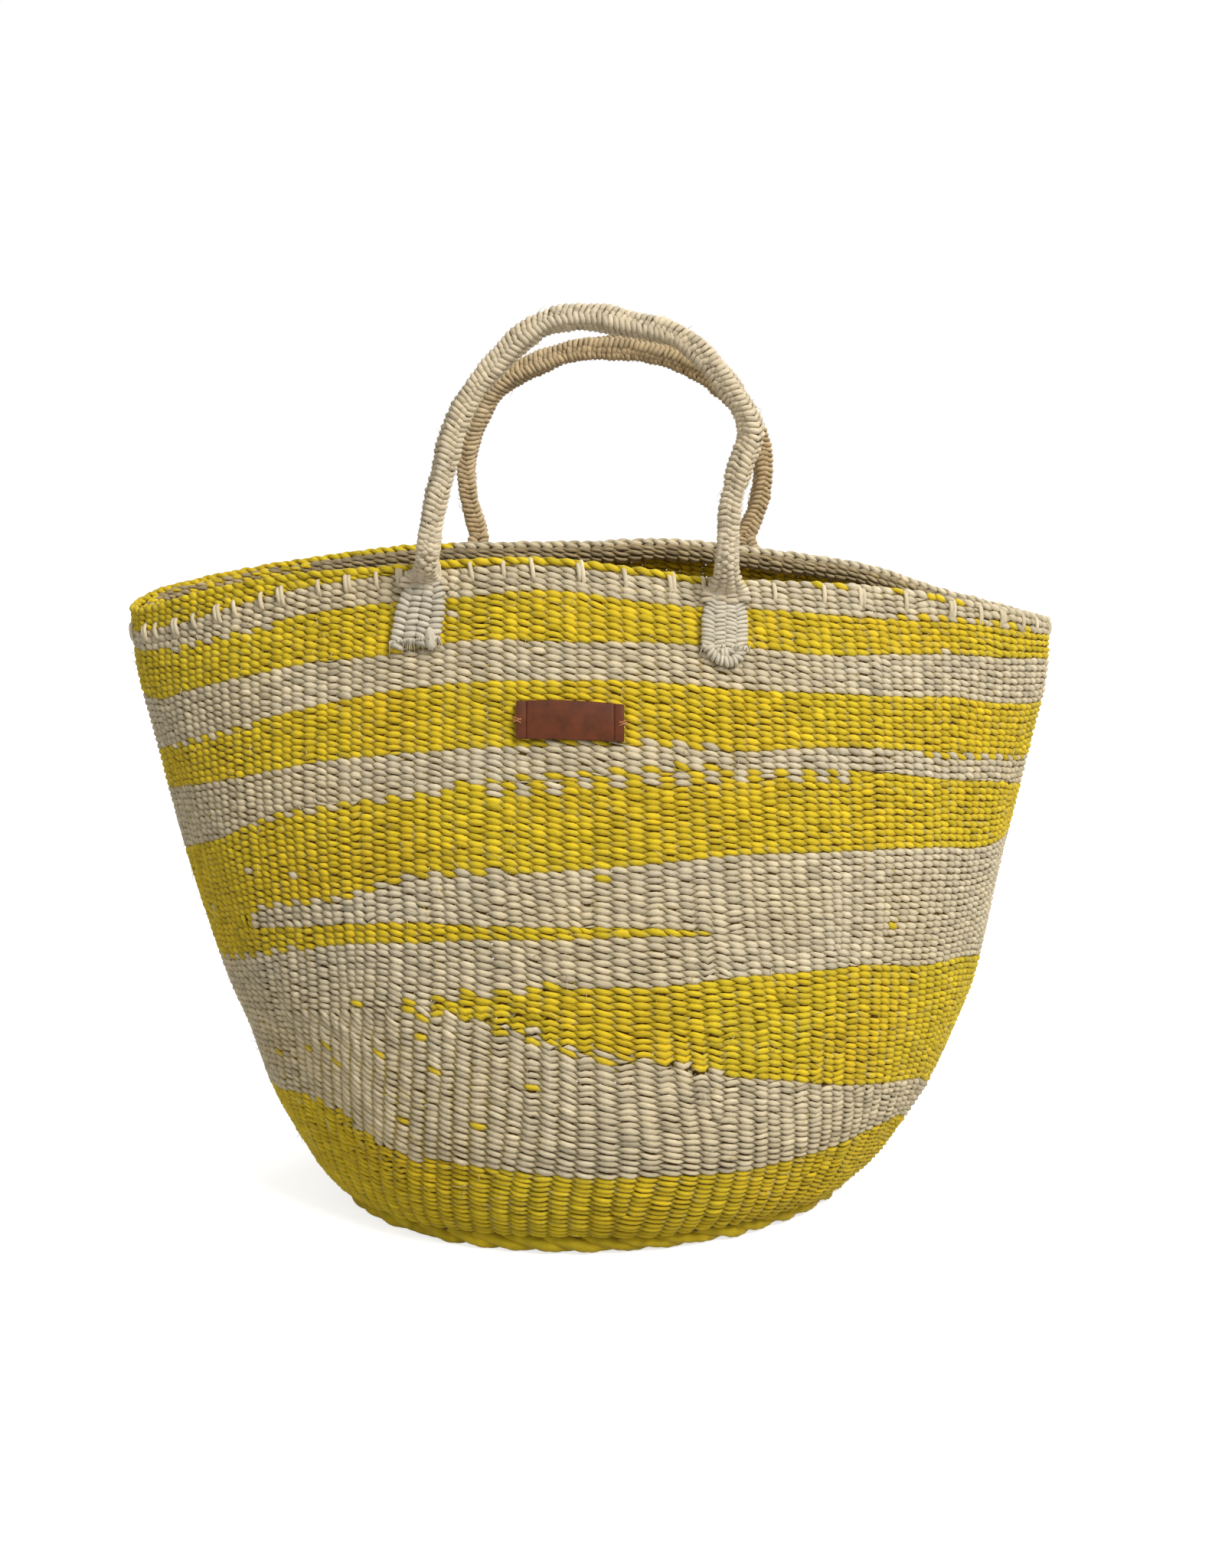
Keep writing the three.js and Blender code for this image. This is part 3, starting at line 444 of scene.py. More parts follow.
def wallAt(turn, row, wobble=1.0):
    # middle surface with its directions, and the wall's length for a share of rows there
    turn, row = np.broadcast_arrays(np.asarray(turn, float), np.asarray(row, float))
    small = 0.001
    at = np.clip(row, small, 1 - small)
    around = middlePoint(turn + small, at) - middlePoint(turn - small, at)
    up = middlePoint(turn, at + small) - middlePoint(turn, at - small)
    run = np.linalg.norm(up, axis=-1) / (2 * small)
    normal = unit(np.cross(around, up))
    up = unit(up)
    # the waves die away towards the welt and the mouth
    edge = np.clip(np.minimum(row, 1 - row) * 12, 0, 1)
    point = middlePoint(turn, row) + normal * (waves(swells, turn, row) * wobble * (0.4 + 0.6 * edge))[..., None]
    point = point + up * (waves(wanders, turn, row) * wobble * edge)[..., None]
    return point, up, normal, run


mouthMiddle = -body["lean"]


def turnAt(aside, row, side):
    # turn at which the front (-1) or back (1) of the wall stands at a distance from the middle of the mouth
    row = np.asarray(row, float)
    lean = body["lean"] * smoothTable(body["stations"], body["leans"], row)
    width = body["baseWidth"] + (body["mouthWidth"] - body["baseWidth"]) * smoothTable(
        body["stations"], body["widths"], row)
    cosine = (mouthMiddle + np.asarray(aside, float) + lean) / ((width - body["thickness"]) / 2)
    angle = np.arccos(np.clip(cosine, -1, 1))
    return (fullTurn - angle if side < 0 else angle) / fullTurn


def smoothStep(value):
    at = np.clip(value, 0, 1)
    return at * at * (3 - 2 * at)


# twining

weave = {
    "pitch": 3.2,                # distance of the rows of weft up the wall
    "basePitch": 2.95,
    "firstLine": 0.0425,         # where the wall starts on the welt
    "rimRow": 3.4,               # height of the row along the mouth
    "seam": 0.25,                # turn where each row begins, in the middle of the back
    "wallLength": 345,           # mean length up the wall from the floor to the mouth
    "warps": 176,
    "tableSteps": 100,           # steps up the wall in the table of the warps
    "standing": 0.3,             # weight from which a warp that grows in stands
    "growth": 0.2,               # share of the wall over which it grows in
    "nudge": 0.16,               # how far a warp stands from its even place, in columns
    "addedMiddle": 0.15,         # share of the warps that is added above the base, in the middle and at the ends
    "addedEnds": 0.6,
    "addedStarts": ((0, 0.01), (0.44, 0.1), (0.69, 0.24), (1, 0.42)),   # rows at which a share of them starts
    "endDensity": ((0, 0.95), (0.4, 0.7), (1, 0.45)),   # how much denser they stand at the ends, by row
    "samples": 4,                # points of a strand for each warp
    "outPerColumn": 0.2,         # how far a strand swings out and in round the warps, for the width of a column
    "swings": (0.9, 1.7),        # least and most that it swings
    "outSpread": 0.1,            # how much stitches differ in standing out, slant, place and height
    "slantSpread": 0.2,
    "liftSpread": 0.07,
    "heightSpread": 0.11,
    "weftThick": 1.35,
    "thinning": (0.35, 1.3),     # least and most of that thickness in rows lower or higher than the pitch
    "weftHalf": 0.49,            # shares of the height of a row
    "crossHalf": 0.27,
    "crossOut": 0.3,             # where two strands cross, share of the swing that they stay out
    # how steeply the stitches slant, by turn
    "slants": ((0, 0.2), (0.1, 0.24), (0.25, 0.32), (0.45, 0.38), (0.6, 0.4), (0.72, 0.35), (0.85, 0.24), (1, 0.2)),
    "toneSpread": 0.1,
    # the tone below is painted shade, where a strand dives behind a warp
    "diveShade": 0.66,            # tone of a strand where it dives behind a warp
    "leastHeight": 0.07,         # share of its height under which a row ends
    "groundSplit": 0.45,         # share of the rows of the lower ground that are a piece of their own
}
denseTurns = weave["seam"] + np.arange(1441) / 1440


def warpPlan():
    # turn and weight of each warp at even shares of the wall: some stand from the base, and the others grow in
    # between them, most of all at the ends
    count = weave["warps"]
    ends = np.cos((weave["seam"] + (np.arange(count) + 0.5) / count) * fullTurn) ** 2
    added = weave["addedMiddle"] + (weave["addedEnds"] - weave["addedMiddle"]) * ends
    order = (np.arange(count) * 0.618034) % 1
    starts = fromTable(weave["addedStarts"], order / added)
    starts = np.where(order < added, starts, -1)
    nudge = rng.uniform(-weave["nudge"], weave["nudge"], count)
    middles = (denseTurns[1:] + denseTurns[:-1]) / 2
    turns, weights = [], []
    for row in np.linspace(0, 1, weave["tableSteps"] + 1):
        weight = smoothStep((row - starts) / weave["growth"])
        places = (np.cumsum(weight) - weight / 2 + nudge * weight) / weight.sum()
        points = middlePoint(denseTurns, row)
        steps = np.linalg.norm(np.diff(points, axis=0), axis=1)
        density = fromTable(weave["endDensity"], row)
        denser = 1 + density * np.abs(np.cos(middles * fullTurn)) ** 1.5
        reach = np.concatenate([[0], np.cumsum(steps * denser)])
        turns.append(np.interp(places, reach / reach[-1], denseTurns))
        weights.append(weight)
    return np.array(turns), np.array(weights)


warpTable, warpWeights = warpPlan()


def warpsAt(rowOf):
    # turns of the warps where a row crosses them, and which of them stand there; rowOf(turn) is the row's share
    columns, steps = np.arange(weave["warps"]), weave["tableSteps"]
    turns = warpTable[steps // 2]
    for _ in range(4):
        at = np.clip(rowOf(turns), 0, 1) * steps
        low = np.minimum(at.astype(int), steps - 1)
        part = at - low
        turns = warpTable[low, columns] * (1 - part) + warpTable[low + 1, columns] * part
    weight = warpWeights[low, columns] * (1 - part) + warpWeights[low + 1, columns] * part
    return turns, weight > weave["standing"]


def twinedRow(turns, surface, rowOf, heightOf, keyOf, yarn, parts):
    # one row of two strands that cross between the warps; surface(turn, row) gives point, up, normal and run, and
    # heightOf(turn, run) the height of the row in mm
    count = len(turns)
    m = yarn["samples"]
    t = np.arange(m * count + 1) / m - 0.5
    closed = np.concatenate([[turns[-1] - 1], turns, [turns[0] + 1]])
    turnAlong = np.interp(t, np.arange(-1, count + 1), closed)
    middle, up, normal, run = surface(turnAlong, rowOf(turnAlong))
    height = heightOf(turnAlong, run)
    steps = reachAlong(middle)
    column = np.gradient(steps) * m
    swing = np.clip(yarn["outPerColumn"] * column, *yarn["swings"])
    slant = fromTable(yarn["slants"], turnAlong % 1)
    stitch = np.minimum(np.arange(len(t)) // m, count - 1)
    for strand in (0, 1):
        phase = np.pi * (t + strand)
        reach = np.abs(np.cos(phase)) ** 0.6
        front = np.sign(np.cos(phase)) * reach
        side = -np.arcsin(np.sin(phase)) * 2 / np.pi
        loose, fuller, slope, tilt = rng.normal(0, 1, (4, count))[:, stitch]
        out = front * (1 + yarn["outSpread"] * loose * reach) + yarn["crossOut"] * (1 - reach)
        centre = middle + normal * (out * swing)[:, None]
        lift = side * slant * (1 + yarn["slantSpread"] * slope) + yarn["liftSpread"] * tilt * reach
        centre = centre + up * (lift * height)[:, None]
        half = yarn["crossHalf"] + (yarn["weftHalf"] - yarn["crossHalf"]) * reach
        half = half * height * (1 + yarn["heightSpread"] * fuller * reach)
        thick = yarn["weftThick"] * (0.85 + 0.15 * reach) * np.clip(height / weave["pitch"], *yarn["thinning"])
        tone = 1 + yarn["toneSpread"] * rng.normal(0, 1, count)[stitch]
        # the strand is painted darker where it dives behind a warp, shade between the warps
        tone = tone * (yarn["diveShade"] + (1 - yarn["diveShade"]) * reach)
        keys, tints = keyOf(turns, strand)
        tint = tints[stitch] * (1 - reach) ** 1.2
        edges = np.flatnonzero(np.diff(keys)) + 1
        for first, last in zip(np.concatenate([[0], edges]), np.concatenate([edges, [count]])):
            if keys[first] < 0:
                continue
            span = slice(first * m, last * m + 1)
            part = cord(centre[None, span], normal[None, span], thick[None, span], half[None, span], 5,
                        tone[None, span], tint[None, span])
            parts.setdefault(int(keys[first]), []).append(part)


# pieces of the wall by the key of their stitches; the ground is in four, and lint is single stitches in other runs
wallPieces = {
    0: "wallBaseYellowBand", 20: "wallNaturalGroundLowest", 1: "wallNaturalGroundLower",
    21: "wallNaturalGroundUpper", 22: "wallNaturalGroundTongue", 2: "wallYellowWedge", 3: "wallYellowThinStripe",
    4: "wallYellowWideBand", 5: "wallNaturalThirdBand", 6: "wallYellowMiddleBand", 7: "wallNaturalSecondBand",
    8: "wallYellowUpperBand", 9: "wallNaturalTopBand", 10: "rimYellowRow", 30: "yellowLint", 31: "naturalLint",
}
# the runs of weft from the welt to the mouth: key, line below, line above, and the side where short rows end
runs = (
    (0, "wallFoot", "baseBandTop", "top"),
    (1, "baseBandTop", "wedgeLow", "top"),
    (2, "wedgeLow", "wedgeHigh", "bottom"),
    (21, "wedgeHigh", "stripeLow", "bottom"),
    (3, "stripeLow", "stripeHigh", "top"),
    (22, "stripeHigh", "wideLow", "bottom"),
    (4, "wideLow", "wideHigh", "top"),
    (5, "wideHigh", "middleLow", "bottom"),
    (6, "middleLow", "middleHigh", "bottom"),
    (7, "middleHigh", "upperLow", "top"),
    (8, "upperLow", "upperHigh", "bottom"),
    (9, "upperHigh", "rimLow", "top"),
    (10, "rimLow", "rimFoot", "bottom"),
)
# places where the two strands of a row have different colours: run, edge, how far from it in mm, turns, other run
combs = (
    (4, "wideHigh", 6.5, 0.715, 0.84, 5), (4, "wideHigh", 3, 0.6, 0.7, 5), (5, "wideHigh", 3, 0.7, 0.8, 4),
    (22, "wideLow", 6, 0.52, 0.6, 4), (4, "wideLow", 3, 0.6, 0.72, 22), (3, "stripeLow", 3, 0.5, 0.62, 21),
    (5, "middleLow", 2.8, 0.88, 0.97, 6), (9, "upperHigh", 2.8, 0.86, 0.95, 8), (8, "upperHigh", 3, 0.57, 0.64, 9),
    (2, "wedgeLow", 3, 0.7, 0.8, 1), (1, "wedgeLow", 4, 0.67, 0.76, 2), (21, "wedgeHigh", 4, 0.67, 0.74, 2),
    (0, "baseBandTop", 3, 0.6, 0.67, 1), (6, "middleHigh", 3, 0.55, 0.62, 7), (6, "middleLow", 3, 0.73, 0.8, 5),
)


def lensLine(name, other, turn):
    # an edge of a run that doesn't go all round; beyond its tips the two edges are one line
    points = colourLines[name]
    first, last = points[0][0], points[-1][0]
    at = np.where(turn % 1 < first - 1e-6, turn % 1 + 1, turn % 1)
    inside = at <= last
    tips = [(points[k][1] + colourLines[other][k][1]) / 2 for k in (0, -1)]
    return np.where(inside, lineAt(name, at), np.interp(at, (last, first + 1), (tips[1], tips[0])))


def edgeOf(name, turn):
    # share of the wall of one of the lines that part the runs
    if name == "wallFoot":
        return np.full(turn.shape, weave["firstLine"])
    if name == "rimFoot":
        return np.full(turn.shape, 1 - weave["rimRow"] / weave["wallLength"])
    if name in ("wedgeLow", "wedgeHigh"):
        return lensLine(name, "wedgeHigh" if name == "wedgeLow" else "wedgeLow", turn)
    if name in ("stripeLow", "stripeHigh"):
        at = turn % 1
        inside = (at >= stripeSpan[0]) & (at <= stripeSpan[1])
        low = np.where(inside, lineAt("stripeLow", at), fromTable(stripeBeyond, at))
        if name == "stripeLow":
            return low
        high = np.where(at < tongueStart, lineAt("wideLow", at), lineAt("stripeHigh", at))
        return np.where(inside, high, low)
    if name == "rimLow":
        at = turn % 1
        foot = edgeOf("rimFoot", turn)
        inside = (at >= rimSpan[0]) & (at <= rimSpan[1])
        return np.where(inside, np.minimum(lineAt("rimLow", at), foot), foot)
    return lineAt(name, turn)


def rowsOfRun(key, lowName, highName, shortSide):
    # rows of one run, each with its share of the wall and its height in mm at the dense turns; a row narrows to
    # nothing where the run gets too low for it
    low, high = edgeOf(lowName, denseTurns), edgeOf(highName, denseTurns)
    length = (high - low) * wallAt(denseTurns, (low + high) / 2, 0)[3]
    pitch = weave["basePitch"] if key == 0 else weave["pitch"]
    wanted = length / pitch
    count = int(np.ceil(wanted.max() - 0.5))
    order = np.arange(count) if shortSide == "top" else np.arange(count)[::-1]
    weights = smoothStep((wanted[None, :] - order[:, None] - 0.5) / 0.3 + 0.5)
    total = np.maximum(weights.sum(axis=0), 0.4)
    places = (np.cumsum(weights, axis=0) - weights / 2) / total
    rows = low + (high - low) * places
    return rows, weights * length / total, weights, count


def sample(values):
    # a function of the turn from its values at the dense turns
    return lambda turn: np.interp((turn - weave["seam"]) % 1 + weave["seam"], denseTurns, values)


# single stitches of the other colour: chance of a yellow one in the ground and in its lint patch low on the left,
# chance of a natural one in the yellow runs, middle and reach of the patch in turns, its top and its fading out
lint = {"yellow": 0.002, "inPatch": 0.022, "natural": 0.003, "middle": 0.62, "reach": 0.1, "top": 0.44, "fade": 0.12}


def stitchKeys(key, row, weightOf):
    # which piece a stitch belongs to, and how much of the warp's colour shows beside it
    def keyOf(turns, strand):
        turn, at = turns % 1, row(turns)
        keys = np.full(turn.shape, key)
        ground = (key == 1) | (key >= 20)
        for run, edge, reach, first, last, other in combs:
            if run == (1 if key == 20 else key) and strand == 1:
                close = np.abs(at - edgeOf(edge, turns)) * weave["wallLength"] < reach
                keys = np.where(close & (turn > first) & (turn < last), other, keys)
        # yellow lint and warps show between the stitches of the ground, most of all in the patch
        patch = np.clip(1.4 - np.abs(turn - lint["middle"]) / lint["reach"], 0, 1)
        patch = patch * np.clip((lint["top"] - at) / lint["fade"], 0, 1)
        draw = rng.uniform(0, 1, len(turns))
        if ground:
            keys = np.where(draw < lint["yellow"] + lint["inPatch"] * patch, 30, keys)
        elif key in (2, 4, 6, 8):
            keys = np.where(draw < lint["natural"], 31, keys)
        keys = np.where(weightOf(turns) > weave["leastHeight"], keys, -1)
        chance = rng.uniform(0, 1, len(turns))
        return keys, (0.12 + 0.9 * patch) * (0.25 + 0.75 * chance) if ground else 0.5 * chance ** 4
    return keyOf


print("stage: weaving the wall")
wallParts = {}
for key, lowName, highName, shortSide in runs:
    rows, heights, weights, count = rowsOfRun(key, lowName, highName, shortSide)
    for index in range(count):
        rowOf, heightOf, weightOf = (sample(v[index]) for v in (rows, heights, weights))
        turns, standing = warpsAt(rowOf)
        # the lowest run of the ground is kept as two pieces
        piece = 20 if key == 1 and index < count * weave["groundSplit"] else key
        twinedRow(turns[standing], wallAt, rowOf, lambda turn, run, height=heightOf: height(turn),
                  stitchKeys(piece, rowOf, weightOf), weave, wallParts)


def rimKeys(turns, strand):
    turn = turns % 1
    yellow = (turn >= rimSpan[0]) & (turn <= rimSpan[1])
    bits = (turn > rimSpan[1]) & (turn < bitsEnd) & (rng.uniform(0, 1, len(turns)) < bitsChance)
    return np.where(yellow | bits, 10, 9), np.zeros(len(turns))


rimRowShare = 1 - weave["rimRow"] / 2 / weave["wallLength"]
turns, standing = warpsAt(lambda turn: np.full(turn.shape, rimRowShare))
twinedRow(turns[standing], wallAt, lambda turn: np.full(turn.shape, rimRowShare),
          lambda turn, run: np.full(run.shape, weave["rimRow"]), rimKeys, weave, wallParts)

for key, name in wallPieces.items():
    node = "wall_natural_ground" if "Ground" in name else "".join("_" + c.lower() if c.isupper() else c for c in name)
    yarnPiece(name, wallParts[key], yellowYarn if "ellow" in name else naturalYarn, () if "Lint" in name else (node,))


# warps

# the warps' tone of 0.7 darkens them further, painted shade behind the stitches
warp = {"halfOut": 0.85, "halfAcross": 2.4, "colourChange": 0.45, "tone": 0.7}


def warpCords():
    # the warps in two pieces, below and above the middle of the wall
    picked = np.arange(2, 99, 2)
    rows = picked / weave["tableSteps"]
    turns, standing = warpTable[picked], warpWeights[picked] > weave["standing"]
    low, high = [], []
    for k in range(weave["warps"]):
        first = int(np.argmax(standing[:, k]))
        point, up, normal, run = wallAt(turns[first:, k], rows[first:])
        split = max(int(np.searchsorted(rows[first:], warp["colourChange"])), 2)
        for parts, span in ((low, slice(0, split)), (high, slice(split - 1, None))):
            if len(point[span]) > 1:
                parts.append(oneCord(point[span], normal[span], warp["halfOut"], warp["halfAcross"], 5, warp["tone"]))
    material = warpYarn[0]
    yarnPiece("warpsLower", low, (material, "yellow_sisal"))
    yarnPiece("warpsUpper", high, (material, "natural_sisal"))


print("stage: warps")
warpCords()


# base

base = {
    **weave, "rows": 24, "weftThick": 1.2,
    "firstWarps": 24, "lastWarps": 108, "startCords": 7,
}


def weltLine(turn):
    # middle of the welt round the edge of the base, and the way out from it
    point, up, normal, run = wallAt(turn, body["weltShare"], 0)
    return point, unit(normal * np.array([1, 1, 0]))


def baseAt(turn, share):
    # middle surface of the bottom between the round start and the welt
    turn, share = np.broadcast_arrays(np.asarray(turn, float), np.asarray(share, float))
    inner = body["startDiameter"] / 2 + 0.5
    edge, out = weltLine(turn)
    angle = turn * fullTurn
    outer = (edge - out * (body["weltDiameter"] / 2 + 0.3))[..., :2]
    start = inner * np.stack([np.cos(angle), np.sin(angle)], -1)
    flat = start + (outer - start) * share[..., None]
    point = np.concatenate([flat, np.full((*flat.shape[:-1], 1), body["baseThickness"] / 2)], -1)
    reach = outer - start
    run = np.linalg.norm(reach, axis=-1)
    outward = np.concatenate([unit(reach), np.zeros((*flat.shape[:-1], 1))], -1)
    return point, outward, np.broadcast_to(-upright, point.shape), run


def twinedBase():
    parts = {}
    for index in range(base["rows"]):
        share = (index + 0.5) / base["rows"]
        count = int(round(base["firstWarps"] + (base["lastWarps"] - base["firstWarps"]) * share ** 0.8))
        turns = weave["seam"] + (np.arange(count) + 0.5) / count
        twinedRow(turns, baseAt, lambda turn, at=share: np.full(turn.shape, at),
                  lambda turn, run: run / base["rows"],
                  lambda t, strand: (np.zeros(len(t), int), np.zeros(len(t))), base, parts)
    spokes = []
    for k in range(base["lastWarps"]):
        first = 0 if k % 4 == 0 else 0.3 if k % 2 == 0 else 0.6
        shares = np.linspace(first, 1, 12)
        point, outward, down, run = baseAt(np.full(12, k / base["lastWarps"]), shares)
        spokes.append(oneCord(point, down, 0.95, 1.5, 5, 0.8))
    yarnPiece("baseDisc", parts[0] + spokes, yellowYarn, ("base_disc",))


def crossedStart():
    # warps laid over and under each other at right angles, with a bound ring round them
    radius = body["startDiameter"] / 2 - 1.2
    height = body["startThickness"] / 2
    spread = (np.arange(base["startCords"]) - (base["startCords"] - 1) / 2) * 2 * radius / base["startCords"]
    parts = []
    for way in (0, 1):
        for k, aside in enumerate(spread):
            reach = math.sqrt(max(radius ** 2 - aside ** 2, 9)) - 1
            s = np.linspace(-reach, reach, 29)
            weaving = np.cos((s / (2 * radius / base["startCords"]) + k + way) * np.pi) * 1.5
            z = height + weaving * (1 if way else -1)
            across = np.full(29, aside)
            point = np.stack([across, s, z] if way else [s, across, z], -1)
            parts.append(oneCord(point, upright, 1.3, 2.6, 6, 1 + 0.08 * rng.normal()))
    parts += ropeRing(lambda turn: (
        np.stack([(radius - 0.6) * np.cos(turn * fullTurn), (radius - 0.6) * np.sin(turn * fullTurn),
                  np.full(turn.shape, height)], -1), upright),
        {"strands": 2, "strandRadius": 1.6, "helix": 1.5, "twists": 12, "samples": 160, "sides": 5, "lumps": 0})
    yarnPiece("baseStart", parts, yellowYarn, ("base_start",))


def ropeRing(pathAt, rope):
    # strands laid round each other along a closed path; pathAt(turn) gives the middle and an upright direction
    parts = []
    samples, strands = rope["samples"], rope["strands"]
    turn = np.arange(samples + 1) / samples
    middle, up = pathAt(turn)
    along = unit(np.gradient(middle, axis=0))
    out = unit(np.cross(along, up))
    up = np.cross(out, along)
    for k in range(strands):
        wander = 0.5 * np.sin(turn * 11 * fullTurn + k) + 0.3 * np.sin(turn * 29 * fullTurn + 2 * k)
        angle = turn * rope["twists"] * fullTurn + k / strands * fullTurn + wander * min(rope["lumps"] * 4, 0.6)
        direction = out * np.cos(angle)[:, None] + up * np.sin(angle)[:, None]
        swell = 1 + rope["lumps"] * np.sin(turn * 173 + k * 2) * np.sin(turn * 61 + k)
        centre = middle + direction * (rope["helix"] * swell)[:, None]
        size = rope["strandRadius"] * swell
        tone = rope.get("tone", 1) + 0.1 * np.interp(turn, np.linspace(0, 1, 240), rng.normal(0, 1, 240))
        parts.append(oneCord(centre, direction, size, size * 1.08, rope["sides"], tone))
    return parts


welt = {"strands": 3, "strandRadius": 3.1, "helix": 2.6, "twists": -15, "samples": 900, "sides": 8, "lumps": 0.1,
        "tone": 0.86}


def weltPath(turn):
    point, out = weltLine(turn)
    point = point * np.array([1, 1, 0]) + np.array([0, 0, body["weltDiameter"] / 2 + 0.6])
    return point, upright


print("stage: base")
twinedBase()
crossedStart()
yarnPiece("baseWelt", ropeRing(weltPath, welt), yellowYarn, ("base_welt",))


# rim

rim = {
    "rows": 8, "yellowFrom": 0.36, "yellowTo": 0.57, "yellowChance": 0.45,
    "swell": 1.15,               # height of its rows over their even share
    # the core is drawn at 0.45 of its yarn's brightness, painted shade inside the roll
    "core": {"strands": 1, "strandRadius": 2.9, "helix": 0, "twists": 0, "samples": 500, "sides": 8, "lumps": 0.05,
             "tone": 0.45},
    # bound warp ends that fill the wall under the roll, drawn at 0.6 of their yarn's brightness as painted shade under
    # the roll
    "filler": {"strands": 1, "strandRadius": 0.9, "helix": 0, "twists": 0, "samples": 400, "sides": 6, "lumps": 0.05,
               "tone": 0.6},
    "fillerRows": (0.97, 0.982, 0.994),
    # length, lean and standing out of the binding stitches, by turn
    "lengths": ((0, 10), (0.3, 9), (0.5, 9), (0.66, 9), (0.8, 10.5), (1, 10.5)),
    "leans": ((0, 0.2), (0.4, 1.2), (0.6, 1.4), (0.75, 0.6), (1, 0.2)),
    "bulges": ((0, 2.4), (0.45, 3.2), (0.65, 3.2), (0.8, 2.5), (1, 2.4)),
    "stitchOut": 0.85, "stitchAcross": 1.15,
    "stitchRow": 0.986,          # share of the wall of their middles, where no yellow row is
    "scatter": 0.22,             # how far one stands from its even place, in stitches
    "twinChance": 0.4, "twinGap": 0.9, "lengthSpread": (0.8, 1.15), "leanSpread": 0.7,
    # distance of one binding stitch to the next, by turn
    "stitchEvery": ((0, 11.5), (0.5, 11.5), (0.6, 12), (0.66, 14.5), (0.72, 16), (0.8, 26), (0.87, 22), (0.93, 12),
                    (1, 11.5)),
}


def rollPath(turn):
    point, up, normal, run = wallAt(turn, 0.999, 0)
    radius = body["rollDiameter"] / 2
    inward = body["thickness"] / 2 + 0.3 + radius
    return point - normal * inward - up * radius, up


def rollAt(turn, row):
    # surface of the rim roll: the row is the share of the way round its section
    turn, row = np.broadcast_arrays(np.asarray(turn, float), np.asarray(row, float))
    middle, up = rollPath(turn)
    small = 0.001
    along = unit(rollPath(turn + small)[0] - rollPath(turn - small)[0])
    out = unit(np.cross(along, up))
    angle = row * fullTurn
    radial = out * np.cos(angle)[..., None] + up * np.sin(angle)[..., None]
    around = up * np.cos(angle)[..., None] - out * np.sin(angle)[..., None]
    radius = body["rollDiameter"] / 2 - 1.7 + 0.35 * np.sin(turn * 41 * fullTurn) * np.sin(turn * 7 * fullTurn + 1)
    return middle + radial * radius[..., None], around, radial, radius * fullTurn


def rollRows():
    # the warp ends lie in the roll under rows of the same twining
    parts = {}
    turns = warpTable[-1]
    for index in range(rim["rows"]):
        row = (index + 0.5) / rim["rows"]

        def keyOf(at, strand):
            yellow = (at % 1 > rim["yellowFrom"]) & (at % 1 < rim["yellowTo"])
            yellow = yellow & (rng.uniform(0, 1, len(at)) < rim["yellowChance"])
            return yellow.astype(int), 0.5 * rng.uniform(0, 1, len(at)) ** 3
        twinedRow(turns, rollAt, lambda turn, at=row: np.full(turn.shape, at),
                  lambda turn, run: run / rim["rows"] * rim["swell"], keyOf, rollWeave, parts)
    return parts


def overcastStitches():
    # long stitches that bind the roll, worked through the wall a few rows below the mouth
    dense = np.arange(2401) / 2400
    point = middlePoint(dense, 0.97)
    reach = reachAlong(point)
    spacing = fromTable(rim["stitchEvery"], dense)
    number = np.concatenate([[0], np.cumsum(np.diff(reach) / spacing[1:])])
    count = int(number[-1])
    places = (np.arange(count) + rng.uniform(-rim["scatter"], rim["scatter"], count)) / count * number[-1]
    parts = []
    for place in places:
        turn = float(np.interp(place, number, dense))
        low = float(lineAt("rimLow", turn)) if rimSpan[0] < turn < rimSpan[1] else rim["stitchRow"]
        twin = rim["twinGap"] if rng.uniform() < rim["twinChance"] else 0
        for aside in ((-twin, twin) if twin else (0,)):
            s = np.linspace(-0.5, 0.5, 9)
            length, lean, bulge = (fromTable(rim[k], turn) for k in ("lengths", "leans", "bulges"))
            length = length * rng.uniform(*rim["lengthSpread"])
            lean = lean + rng.uniform(-rim["leanSpread"], rim["leanSpread"])
            here, up, normal, run = wallAt(turn, low - 0.004)
            sideways = np.cross(up, normal)
            bulge = bulge - 2.2 * np.abs(2 * s) ** 3
            centre = here + up * (s * length)[:, None] + normal * bulge[:, None]
            centre = centre - sideways * (aside + lean * s + 0.7 * s ** 2)[:, None]
            parts.append(oneCord(centre, normal, rim["stitchOut"], rim["stitchAcross"], 6, 1.06 + 0.06 * rng.normal()))
    return parts


# loose fibres on the wall: lengths, how far they rise off it and the height of their foot over its middle, in mm
stray = {"lengths": (3, 9), "lifts": (0.3, 2.2), "foot": 2.6, "radius": 0.14}


def strayFibres(rows, count):
    # single fibres that stand out of the weave
    parts = []
    s = np.linspace(0, 1, 5)
    for _ in range(count):
        turn, row = rng.uniform(0, 1), rng.uniform(*rows)
        length, spin, lift = rng.uniform(*stray["lengths"]), rng.uniform(0, fullTurn), rng.uniform(*stray["lifts"])
        point, up, normal, run = wallAt(turn, row)
        sideways = np.cross(up, normal)
        bend = spin + 0.9 * s * rng.uniform(-1, 1)
        path = point + (sideways * np.cos(bend)[:, None] + up * np.sin(bend)[:, None]) * (length * s)[:, None]
        path = path + normal * (stray["foot"] + lift * s * (2 - s))[:, None]
        size = stray["radius"] * (1.3 - s)
        parts.append(oneCord(path, normal, size, size, 3, 1.1))
    return parts


